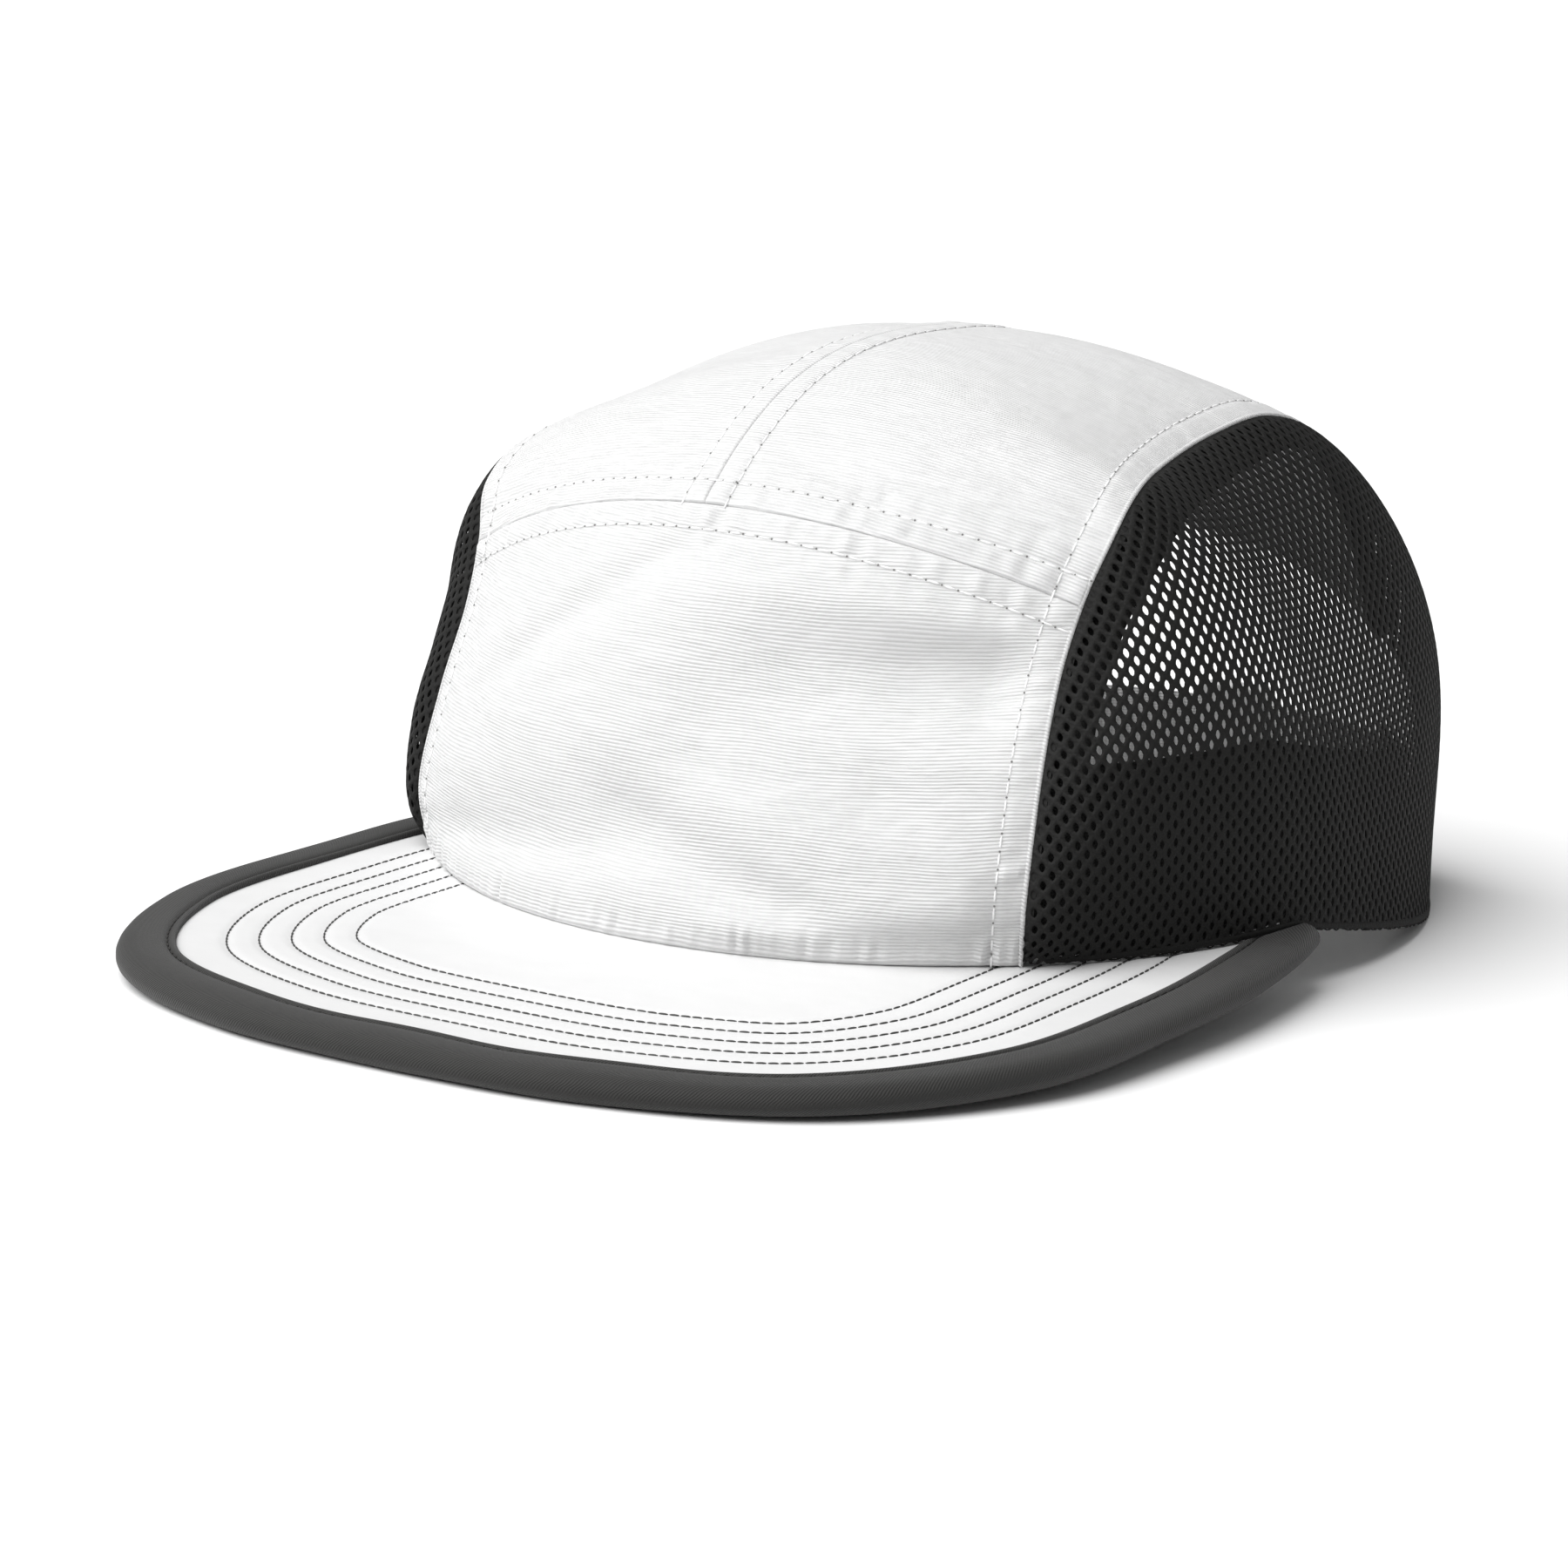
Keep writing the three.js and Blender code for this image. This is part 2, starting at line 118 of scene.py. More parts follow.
def peak_top(plan):
    x, y = plan[..., 0], plan[..., 1]
    return PEAK_TOP + PEAK_SLOPE * (y - PEAK_FRONT) - PEAK_DROOP * (x / HEM_HALF_WIDTH) ** 2


def at_level(plan, level):
    """Plan points, each with its own height."""
    return np.concatenate([plan, level[..., None]], -1)


def peak_edge(degrees):
    """Plan points of the peak's edge; 0 is the front and plus is the wearer's left."""
    shares = [PEAK_SHARES[1], *PEAK_SHARES]
    radius = PEAK_RADIUS * along_rows(shares, np.abs(degrees) / PEAK_STEP + 1)[..., 0]
    turn = np.radians(degrees)
    return np.stack([radius * np.sin(turn), PEAK_Y - radius * np.cos(turn)], -1)


def edge_inward(degrees):
    along = unit(peak_edge(degrees + 0.5) - peak_edge(degrees - 0.5))
    return np.stack([-along[..., 1], along[..., 0]], -1)


def inside_hem(plan, inset):
    """Whether plan points lie within the hem line drawn in by inset."""
    x = plan[..., 0] - CROWN_X
    y = plan[..., 1] - CROWN_Y
    across = x * math.cos(LEAN_TURN) - y * math.sin(LEAN_TURN)
    back = x * math.sin(LEAN_TURN) + y * math.cos(LEAN_TURN)
    depth = np.where(back < 0, HEM_FRONT, HEM_BACK) - inset
    return (across / (HEM_HALF_WIDTH - inset)) ** 2 + (back / depth) ** 2 < 1


def clear_run(start, direction, limit, inset):
    """How far each line runs before it meets the hem line drawn in by inset."""
    near = np.zeros(len(start))
    far = np.broadcast_to(limit, len(start)).astype(float)
    met = inside_hem(start + direction * far[:, None], inset)
    open_run = far.copy()
    for _ in range(30):
        middle = (near + far) / 2
        hit = inside_hem(start + direction * middle[:, None], inset)
        far = np.where(hit, middle, far)
        near = np.where(hit, near, middle)
    return np.where(inside_hem(start, inset), 0, np.where(met, near, open_run))


def plate_run(degrees):
    edge = peak_edge(degrees)
    to_middle = np.array([0, PEAK_Y]) - edge
    return clear_run(edge, unit(to_middle), size_of(to_middle), PEAK_UNDER_HEM)


def last_angle(side, run, room):
    """The last angle on one side at which the edge still has the given room beside it."""
    turns = side * np.arange(60, 118.25, 0.25)
    return turns[np.argmax(run(turns) <= room) - 1]


def edge_distance(plan):
    """How far plan points lie from the peak's edge."""
    edge = peak_edge(np.linspace(-125, 125, 501))
    flat = plan.reshape(-1, 2)
    return np.concatenate(
        [np.hypot(*(part[:, None] - edge[None]).T).min(0) for part in np.array_split(flat, 40)]
    ).reshape(plan.shape[:-1])


def row_channels(distance):
    rows = FIRST_ROW + ROW_STEP * np.arange(ROWS)
    return ROW_CHANNEL * np.exp(-(((distance[..., None] - rows) / (0.7 * MM)) ** 2)).sum(-1)


def stood(name, data):
    """An object for a mesh, a lamp or a camera, put into the scene."""
    made = bpy.data.objects.new(name, data)
    bpy.context.scene.collection.objects.link(made)
    return made


def grid_faces(k):
    """The four-sided faces of a grid of point numbers."""
    return np.stack([k[:-1, :-1], k[:-1, 1:], k[1:, 1:], k[1:, :-1]], -1).reshape(-1, 4)


def inside_out(points, faces):
    a, b, c = (points[faces[:, i]] for i in (0, 1, 2))
    return np.einsum("ij,ij->i", a, np.cross(b, c)).sum() < 0


def new_mesh(name, points, edges, faces):
    mesh = bpy.data.meshes.new(name)
    mesh.from_pydata(np.array(points).tolist(), edges, faces)
    return mesh


def smoothed(mesh, sharp):
    """Shades a mesh smooth, but for the edges that turn by more than sharp degrees."""
    mesh.polygons.foreach_set("use_smooth", np.ones(len(mesh.polygons), bool))
    mesh.set_sharp_from_angle(angle=math.radians(sharp))


def clothed(name, points, faces, flat, sharp):
    """A smooth piece with each point's flat lengths as its UV map."""
    mesh = new_mesh(name, points, [], faces)
    corners = np.empty(len(mesh.loops), int)
    mesh.loops.foreach_get("vertex_index", corners)
    mesh.uv_layers.new(name="cloth").data.foreach_set("uv", flat[corners].ravel())
    smoothed(mesh, sharp)
    return stood(name, mesh)


def cloth_sheet(name, outer, inward, thick, across, up):
    """A closed sheet over a grid of outer points, with its flat lengths as UV map."""
    size = across.size
    points = np.concatenate([outer.reshape(-1, 3), (outer + inward * thick).reshape(-1, 3)])
    k = np.arange(size).reshape(outer.shape[:2])
    front = grid_faces(k)
    rim = np.concatenate([k[0, :-1], k[:-1, -1], k[-1, :0:-1], k[:0:-1, 0]])
    after = np.roll(rim, -1)
    wall = np.stack([after, rim, rim + size, after + size], -1)
    faces = np.concatenate([front, front[:, ::-1] + size, wall])
    if inside_out(points, faces):
        faces = faces[:, ::-1]
    flat = np.stack([across.ravel(), up.ravel()], -1)
    return clothed(name, points, faces.tolist(), np.tile(flat, (2, 1)), 50)


def node(tree, kind, inputs=None, **settings):
    """Adds a node with its settings, and with inputs given as values or other outputs."""
    made = tree.nodes.new(kind)
    for name, value in settings.items():
        setattr(made, name, value)
    for key, value in (inputs or {}).items():
        if isinstance(value, bpy.types.NodeSocket):
            tree.links.new(value, made.inputs[key])
        else:
            made.inputs[key].default_value = value
    return made


def put(tree, kind, inputs=None, **settings):
    """Adds a node in the same way, and gives its first output."""
    return node(tree, kind, inputs, **settings).outputs[0]


def maths(operation, first, second=0.0, third=0.0):
    """A sum on node outputs, in the tree of the first one."""
    numbers = {0: first, 1: second, 2: third}
    return put(first.id_data, "ShaderNodeMath", numbers, operation=operation)


def new_paint(name, roughness):
    """A material and its shader."""
    material = bpy.data.materials.new(name)
    material.use_nodes = True
    shader = material.node_tree.nodes["Principled BSDF"]
    shader.inputs["Roughness"].default_value = roughness
    return material, shader


def new_cloth(name, roughness, sheen=0.0):
    """A material with its shader, and the cloth's own lengths across and up."""
    material, shader = new_paint(name, roughness)
    shader.inputs["Sheen Weight"].default_value = sheen
    lengths = put(shader.id_data, "ShaderNodeUVMap", uv_map="cloth")
    parts = node(shader.id_data, "ShaderNodeSeparateXYZ", {0: lengths}).outputs
    return material, shader, parts[0], parts[1]


def noise(place, scale, detail):
    values = {"Vector": place, "Scale": scale, "Detail": detail}
    return put(place.id_data, "ShaderNodeTexNoise", values)


def streaks(across, up, long, high, detail=2.0):
    """Noise drawn out along the threads, with patches of the given lengths."""
    shares = {0: maths("DIVIDE", across, long), 1: maths("DIVIDE", up, high)}
    spot = put(across.id_data, "ShaderNodeCombineXYZ", shares)
    return noise(spot, 1.0, detail)


def ridges(along, pitch):
    """A height from 0 to 1 that rises once in each pitch."""
    turns = maths("MULTIPLY", along, 2 * math.pi / pitch)
    return maths("MULTIPLY_ADD", maths("SINE", turns), 0.5, 0.5)


def colour_between(shader, share, low, high):
    ends = {0: share, 6: (*low, 1), 7: (*high, 1)}
    mix = node(shader.id_data, "ShaderNodeMix", ends, data_type="RGBA")
    shader.id_data.links.new(mix.outputs[2], shader.inputs["Base Color"])


def bump(shader, height, depth, strength=1.0):
    values = {"Height": height, "Distance": depth, "Strength": strength}
    raised = put(shader.id_data, "ShaderNodeBump", values)
    shader.id_data.links.new(raised, shader.inputs["Normal"])


def peak_cloth():
    material, shader, across, up = new_cloth("white peak cloth", 0.5)
    plain = streaks(across, up, 9 * MM, 5 * MM, 4)
    weave = maths("ADD", ridges(across, 0.42 * MM), ridges(up, 0.42 * MM))
    colour_between(shader, plain, (0.66, 0.66, 0.66), (0.71, 0.71, 0.71))
    bump(shader, weave, 0.02 * MM, 0.5)
    return material


plate_ends = [last_angle(side, plate_run, PLATE_END_ROOM) for side in (-1, 1)]
plate_angles = np.linspace(*plate_ends, 221)
plate_edge = peak_edge(plate_angles)
to_middle = unit(np.array([0, PEAK_Y]) - plate_edge)
plate_share = np.linspace(0, 1, 121)[:, None, None]
plate_plan = plate_edge + to_middle * plate_run(plate_angles)[:, None] * plate_share
plate_level = peak_top(plate_plan)
channel = row_channels(edge_distance(plate_plan))
plate_outer = at_level(plate_plan, plate_level - channel)
plate_depth = np.zeros_like(plate_outer)
plate_depth[..., 2] = -(PEAK_BOARD - 2 * channel)
peak = cloth_sheet("peak_cloth", plate_outer, plate_depth, 1, plate_plan[..., 0], plate_plan[..., 1])
peak.data.materials.append(peak_cloth())
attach(peak, "root")
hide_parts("peak")

# Stitches of the peak
# Lock stitch in dark grey thread: each stitch is a short bowed length of thread that dips
# into the cloth at both ends. The same rows show on the underside.


def new_tree(name, sockets, result):
    """A geometry tree with named inputs and one named output, and its inputs."""
    tree = bpy.data.node_groups.new(name, "GeometryNodeTree")
    for label, kind in sockets.items():
        tree.interface.new_socket(label, in_out="INPUT", socket_type=f"NodeSocket{kind}")
    tree.interface.new_socket(result, in_out="OUTPUT", socket_type="NodeSocketGeometry")
    return tree, tree.nodes.new("NodeGroupInput").outputs


def grow(piece, tree, values):
    """Lets a tree work on a piece, with its named inputs set by their identifiers."""
    growing = piece.modifiers.new(tree.name, "NODES")
    growing.node_group = tree
    for socket in tree.interface.items_tree:
        if socket.name in values:
            growing[socket.identifier] = values[socket.name]


def sewing_tree():
    """A row of stitches along each path, with a grey dot of painted shade for the needle hole between
    each two.
    """
    sockets = {
        "Paths": "Geometry", "Pitch": "Float", "Stitch share": "Float", "Thread radius": "Float",
        "Hole radius": "Float", "Thread": "Material", "Hole shade": "Material",
    }
    tree, given = new_tree("sewn row", sockets, "Stitches")
    pitch, radius, hole = given["Pitch"], given["Thread radius"], given["Hole radius"]
    path = put(tree, "GeometryNodeMeshToCurve", {"Mesh": given["Paths"]})
    dots = put(tree, "GeometryNodeResampleCurve", {"Curve": path, "Length": pitch}, mode="LENGTH")
    tangent = put(tree, "GeometryNodeInputTangent")
    above = put(tree, "GeometryNodeInputNamedAttribute", {"Name": "above"}, data_type="FLOAT_VECTOR")
    align = "FunctionNodeAlignRotationToVector"
    lengthwise = put(tree, align, {"Vector": tangent}, axis="X")
    seated = put(tree, align, {"Rotation": lengthwise, "Vector": above}, axis="Z", pivot_axis="X")
    ball = put(tree, "GeometryNodeMeshUVSphere", {"Segments": 8, "Rings": 5, "Radius": 1.0})

    def balls(points, *sizes):
        scale = put(tree, "ShaderNodeCombineXYZ", dict(enumerate(sizes)))
        laid = {"Points": points, "Instance": ball, "Rotation": seated, "Scale": scale}
        return put(tree, "GeometryNodeInstanceOnPoints", laid)

    def dyed(instances, colour):
        whole = put(tree, "GeometryNodeRealizeInstances", {"Geometry": instances})
        return put(tree, "GeometryNodeSetMaterial", {"Geometry": whole, "Material": colour})

    half = maths("MULTIPLY", maths("MULTIPLY", pitch, given["Stitch share"]), 0.5)
    stitches = balls(dots, half, radius, radius)
    half_pitch = maths("MULTIPLY", pitch, 0.5)
    ahead = put(tree, "ShaderNodeVectorMath", {0: tangent, "Scale": half_pitch}, operation="SCALE")
    between = put(tree, "GeometryNodeSetPosition", {"Geometry": dots, "Offset": ahead})
    holes = balls(between, hole, hole, maths("MULTIPLY", hole, 0.5))
    sizes = {"A": hole, "B": 0.01 * MM}
    bare = put(tree, "FunctionNodeCompare", sizes, data_type="FLOAT", operation="LESS_THAN")
    chosen = {"Geometry": holes, "Selection": bare}
    kept = put(tree, "GeometryNodeDeleteGeometry", chosen, domain="INSTANCE")
    joined = node(tree, "GeometryNodeJoinGeometry")
    for part in (dyed(kept, given["Hole shade"]), dyed(stitches, given["Thread"])):
        tree.links.new(part, joined.inputs[0])
    rounded = put(tree, "GeometryNodeSetShadeSmooth", {"Geometry": joined.outputs[0]})
    node(tree, "NodeGroupOutput", {"Stitches": rounded})
    return tree


SEWING = sewing_tree()


def plain_mesh(grown, name):
    """The evaluated object as a plain mesh, in place of the object it grew from."""
    graph = bpy.context.evaluated_depsgraph_get()
    mesh = bpy.data.meshes.new_from_object(grown.evaluated_get(graph))
    bpy.data.objects.remove(grown)
    mesh.name = name
    return stood(name, mesh)


def sewn_rows(name, rows, pitch, radius, thread, hole_radius=0.0, share=0.8):
    """rows is a list of (points, the cloth's outward directions) along each row."""
    points = np.concatenate([row for row, _ in rows])
    above = np.concatenate([way for _, way in rows])
    starts = np.cumsum([len(row) for row, _ in rows])
    edges = [(i - 1, i) for i in range(1, len(points)) if i not in starts]
    mesh = new_mesh(name, points, edges, [])
    mesh.attributes.new("above", "FLOAT_VECTOR", "POINT").data.foreach_set("vector", above.ravel())
    paths = stood(name + "_paths", mesh)
    values = {
        "Pitch": pitch, "Stitch share": share, "Thread radius": radius,
        "Hole radius": hole_radius, "Thread": thread, "Hole shade": NEEDLE_HOLE_SHADE,
    }
    grow(paths, SEWING, values)
    return plain_mesh(paths, name)


def specks(shader, scale, detail):
    """Noise on the piece's own place, for a grain that follows no thread."""
    place = node(shader.id_data, "ShaderNodeTexCoord").outputs["Object"]
    return noise(place, scale, detail)


def thread_of(name, colour, roughness):
    material, shader = new_paint(name, roughness)
    ply = specks(shader, 2600.0, 2.0)
    colour_between(shader, ply, colour, [min(1, part * 1.35) for part in colour])
    bump(shader, ply, 0.06 * MM, 0.8)
    return material


# The grey of the needle holes is painted shade, the dark of each pierced hole, not a colour of the
# cloth or thread.
NEEDLE_HOLE_SHADE = thread_of("needle hole shade", (0.16, 0.16, 0.155), 0.9)
DARK_THREAD = thread_of("dark grey thread", (0.035, 0.035, 0.033), 0.6)


def edge_row(degrees, distance, inset, rise, slope, above):
    """A row of stitches at one distance from the peak's edge, above (1) or below it (-1)."""
    plan = peak_edge(degrees) + edge_inward(degrees) * distance
    plan = plan[~inside_hem(plan, inset)]
    level = peak_top(plan) + rise
    if above < 0:
        level = level - PEAK_BOARD - 2 * rise
    return at_level(plan, level), np.tile([-slope * above, 0, float(above)], (len(plan), 1))


row_angles = np.linspace(-118, 118, 480)
row_sunk = -ROW_CHANNEL * THREAD_SUNK
for above, name in ((1, "peak_stitches_top"), (-1, "peak_stitches_under")):
    distances = FIRST_ROW + ROW_STEP * np.arange(ROWS)
    rows = [edge_row(row_angles, d, ROW_END, row_sunk, PEAK_SLOPE, above) for d in distances]
    stitches = sewn_rows(name, rows, ROW_PITCH, PEAK_THREAD, DARK_THREAD, share=0.93)
    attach(stitches, "root")

# Peak binding
# A charcoal twill ribbon folded over the raw edge of the peak and sewn through close to its
# inner edge, so that it stands a little proud and rounds over the rim.

BINDING_WIDTH = 9 * MM
BINDING_GAP = 0.3 * MM
BINDING_STITCH = 1.5 * MM
BINDING_STITCH_RISE = 0.62 * MM
BINDING_PITCH = 2.6 * MM
BINDING_THREAD_RADIUS = 0.2 * MM
BINDING_END_ROOM = 1.6 * MM
# The top half of the ribbon's section, from its stitched inner edge round to the rim. The
# lower half is the same, turned over.
BINDING_SECTION = [
    # mm out from the peak's edge (negative is inward), mm above the board
    (-9.0, 0.12), (-8.95, 0.62), (-8.7, 0.92), (-8.2, 1.0), (-7.75, 0.84), (-7.45, 0.45),
    (-7.1, 0.78), (-6.5, 1.0), (-5.2, 1.12), (-3.8, 1.15), (-2.4, 1.12), (-1.2, 1.0),
    (-0.3, 0.72), (0.4, 0.25), (0.9, -0.4), (1.15, -1.0),
]


def charcoal_twill():
    material, shader, across, up = new_cloth("charcoal twill", 0.78, 0.15)
    slant = maths("ADD", across, up)
    rib = ridges(slant, 0.62 * MM)
    worn = streaks(across, up, 5 * MM, 2 * MM, 4)
    grain = streaks(across, up, 0.4 * MM, 0.4 * MM, 2)
    # The twill rib grooves are painted darker than the rib crests: painted shade in the grooves. The
    # worn streaks vary the tone at random.
    tone = maths("MULTIPLY_ADD", rib, 0.35, maths("MULTIPLY", worn, 0.7))
    colour_between(shader, tone, (0.005, 0.0048, 0.0043), (0.014, 0.0135, 0.0118))
    bump(shader, maths("MULTIPLY_ADD", grain, 0.7, rib), 0.09 * MM, 0.8)
    return material


def binding_run(degrees):
    return clear_run(peak_edge(degrees), edge_inward(degrees), BINDING_WIDTH, -2 * BINDING_GAP)


def ribbon_section(width):
    """Closed section of the ribbon, as (out, up from the board's middle) in metres."""
    half = PEAK_BOARD / 2
    top = [(max(out * MM, -width), half + up * MM) for out, up in BINDING_SECTION]
    under = [(out, -up) for out, up in reversed(top)]
    inner = [(-width, -half - 0.08 * MM), (0.15 * MM, -half - 0.08 * MM)]
    inner += [(0.15 * MM, half + 0.08 * MM), (-width, half + 0.08 * MM)]
    return np.array(top + under + inner)


binding_ends = [last_angle(side, binding_run, BINDING_END_ROOM) for side in (-1, 1)]
binding_angles = np.linspace(*binding_ends, 361)
binding_points = []
binding_lengths = []
edge_steps = size_of(np.diff(peak_edge(binding_angles), axis=0))
edge_length = np.concatenate([[0], np.cumsum(edge_steps)])
for angle, width, length in zip(binding_angles, binding_run(binding_angles), edge_length):
    section = ribbon_section(width)
    wave = 1 + 0.05 * np.sin(length / (9 * MM) + 2 * np.sin(length / (31 * MM)))
    plan = peak_edge(angle) - edge_inward(angle) * section[:, :1]
    level = peak_top(plan) - PEAK_BOARD / 2
    lift = np.where(np.abs(section[:, 1]) > PEAK_BOARD / 2 + 0.1 * MM, wave, 1)
    binding_points.append(at_level(plan, level + section[:, 1] * lift))
    around = size_of(np.diff(section, axis=0, append=section[:1])).cumsum()
    binding_lengths.append(np.stack([np.full(len(section), length), around], -1))


def swept(name, sections, lengths):
    """Closed sections joined in a row into one solid with flat ends."""
    points = np.concatenate(sections)
    k = np.arange(len(points)).reshape(len(sections), -1)
    walls = grid_faces(np.pad(k, ((0, 0), (0, 1)), "wrap"))
    faces = [*walls.tolist(), k[0, ::-1].tolist(), k[-1].tolist()]
    if inside_out(points, walls):
        faces = [face[::-1] for face in faces]
    return clothed(name, points, faces, np.concatenate(lengths), 60)


binding = swept("peak_binding_ribbon", binding_points, binding_lengths)
binding.data.materials.append(charcoal_twill())
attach(binding, "root")
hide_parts("peak_binding")

BINDING_THREAD = thread_of("charcoal thread", (0.016, 0.0155, 0.014), 0.7)
binding_rows = [
    edge_row(binding_angles, BINDING_WIDTH - BINDING_STITCH, -1 * MM, BINDING_STITCH_RISE, 0, above)
    for above in (1, -1)
]
binding_stitches = sewn_rows(
    "peak_binding_stitches", binding_rows, BINDING_PITCH, BINDING_THREAD_RADIUS, BINDING_THREAD
)
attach(binding_stitches, "root")

# Front panel
# Light white nylon with fine ribs across, cut with an arched top. It is soft, so it dents
# under its own weight, and it puckers where it is sewn down at the seams and at the hem.

CROWN_HEIGHT = 104 * MM
HALF_DEPTH = (HEM_FRONT + HEM_BACK) / 2
CORNER_ANGLE = 48
BACK_ANGLE = 148
BULGE = 12 * MM
BULGE_POWER = 0.68
LEAN_SIDE = math.radians(2)
LEAN_FROM = 10 * MM
LEAN_FULL = 70 * MM
HEM_ABOVE_PEAK = 0.5 * MM
HEM_LEAVES_PEAK = 86
HEM_LANDS = 126
HEM_ABOVE_FLOOR = 0.1 * MM
CROSS_SEAM_ROW = 4
NYLON = 0.5 * MM
MESH_FOOT = 0.12
LIP_PLACES = [0.2 * MM, 0.5 * MM, 0.75 * MM]
LIP_RISES = [0.3 * MM, 0.22 * MM, -0.06 * MM]
SEAM_ROUND = 0.3 * MM
HEM_ROUND = 1.3 * MM
HEM_RIPPLE = 0.38 * MM
TOPSTITCH = 4.7 * MM
WHITE_PITCH = 2.9 * MM
WHITE_THREAD_RADIUS = 0.2 * MM
NEEDLE = 0.2 * MM

# One row per cross section of the white strip, from above the hem over the top to the back.
# Y is a share of HALF_DEPTH, X of HEM_HALF_WIDTH, Z of CROWN_HEIGHT, bulge of BULGE.
CROWN_ROWS = [
    # middleY, middleZ, seamX, seamY, seamZ, arc in degrees, bulge
    (-0.856, 0.194, 0.758, -0.603, 0.206, 49, 0.31),
    (-0.793, 0.411, 0.747, -0.549, 0.373, 38, 0.55),
    (-0.708, 0.6, 0.738, -0.482, 0.509, 30, 0.65),
    (-0.604, 0.755, 0.75, -0.424, 0.623, 26, 0.69),
    (-0.481, 0.863, 0.775, -0.373, 0.721, 26, 0.75),
    (-0.339, 0.94, 0.756, -0.27, 0.791, 29, 0.86),
    (-0.167, 0.985, 0.69, -0.1, 0.818, 32, 0.97),
    (0.044, 0.998, 0.645, 0.113, 0.849, 38, 1.03),
    (0.279, 0.979, 0.625, 0.325, 0.864, 44, 1.05),
    (0.524, 0.887, 0.595, 0.522, 0.81, 50, 1.02),
    (0.757, 0.727, 0.565, 0.692, 0.655, 54, 0.92),
    (0.939, 0.499, 0.53, 0.833, 0.44, 56, 0.55),
]
LAST_ROW = len(CROWN_ROWS)
FOLD_WIDE = 70 * MM
FOLD_TALL = 21.5 * MM
FOLD_END = 15 * MM

# One row per crease of the front panel: its line from one end to the other (share of the
# half width, crown row), how far it spreads above and below the line, and its depth.
FRONT_CREASES = [
    # acrossA, upA, acrossB, upB, above mm, below mm, depth mm
    (0.42, 2.72, 0.86, 2.84, 9, 12, 3.3),
    (0.72, 2.95, 1.02, 3.25, 5, 8, 1.4),
    (0.15, 2.35, 0.6, 2.4, 8, 9, 1.0),
    (0.22, 1.88, 0.6, 1.74, 16, 6, 3.1),
    (-0.62, 0.8, -0.12, 1.14, 9, 7, 2.8),
    (0.05, 1.28, 0.42, 0.74, 7, 6, 2.6),
    (0.45, 0.5, 1, 0.9, 8, 7, -1.7),
    (-0.5, 2.55, -0.15, 3.3, 4, 5, 1.3),
    (0.1, 3.2, 0.9, 3.42, 4, 4, -0.5),
]


def turned(directions):
    """Directions or points of a straight crown, turned as it turns on the peak."""
    x, y, z = np.moveaxis(directions, -1, 0)
    c, s = math.cos(LEAN_TURN), math.sin(LEAN_TURN)
    return np.stack([x * c + y * s, y * c - x * s, z], -1)


def lean(points):
    """The crown leans to the wearer's right and turns on the peak, as the soft cloth stands."""
    x, y, z = np.moveaxis(points, -1, 0)
    share = smooth(z, LEAN_FROM, LEAN_FULL) * math.tan(LEAN_SIDE)
    return turned(np.stack([x - share * z, y, z + share * x], -1)) + (CROWN_X, CROWN_Y, 0)


def hem_point(degrees, inset=0.0):
    """The hem before the lean; angle 0 is the front and plus is the wearer's left."""
    turn = np.radians(degrees)
    depth = np.where(np.cos(turn) > 0, HEM_FRONT, HEM_BACK) - inset
    x = (HEM_HALF_WIDTH - inset) * np.sin(turn)
    y = -depth * np.cos(turn)
    flat = lean(np.stack([x, y, np.zeros_like(x)], -1))
    past = (np.abs(degrees) - HEM_LEAVES_PEAK) / (HEM_LANDS - HEM_LEAVES_PEAK)
    drop = 1 - (1 - np.clip(past, 0, 1)) ** 1.5
    on_peak = peak_top(flat) + HEM_ABOVE_PEAK
    return np.stack([x, y, on_peak * (1 - drop) + HEM_ABOVE_FLOOR * drop], -1)


hem_middle = hem_point(np.array(0.0))
hem_corner = hem_point(np.array(float(CORNER_ANGLE)))
row_sizes = np.array(
    [HALF_DEPTH, CROWN_HEIGHT, HEM_HALF_WIDTH, HALF_DEPTH, CROWN_HEIGHT, 1, BULGE]
)
SECTIONS = np.vstack(
    [[*hem_middle[1:], *hem_corner, CORNER_ANGLE, 0], np.array(CROWN_ROWS) * row_sizes]
)


def strip_point(t, u):
    """The white strip: t counts the crown rows from the hem, u runs from seam to seam."""
    t, u = np.broadcast_arrays(t, u)
    row = along_rows(SECTIONS, t)
    whole = np.radians(row[..., 5])
    side = np.sin(u * whole) / np.sin(whole)
    fall = (1 - np.cos(u * whole)) / (1 - np.cos(whole))
    x = row[..., 2] * side
    y = row[..., 0] + (row[..., 3] - row[..., 0]) * fall
    z = row[..., 1] + (row[..., 4] - row[..., 1]) * fall
    return lean(np.stack([x, y, z], -1))


def outward_of(points):
    """The outward directions of a grid of points of the crown."""
    along = np.gradient(points, axis=0)
    across = np.gradient(points, axis=1)
    outward = unit(np.cross(across, along))
    heart = np.array([CROWN_X, CROWN_Y, CROWN_HEIGHT / 3])
    facing = ((points - heart) * outward).sum(-1).mean()
    return outward * np.sign(facing)


def run_along(points, axis):
    """The length along a grid of points from its first row or column."""
    steps = size_of(np.diff(points, axis=axis))
    return np.insert(np.cumsum(steps, axis=axis), 0, 0, axis=axis)


def crowded(first, last, count, near_ends, span):
    """Values from first to last, with extra ones at lengths near both ends of a span."""
    fine = np.array(near_ends) * (last - first) / span
    return np.unique(np.concatenate([np.linspace(first, last, count), first + fine, last - fine]))


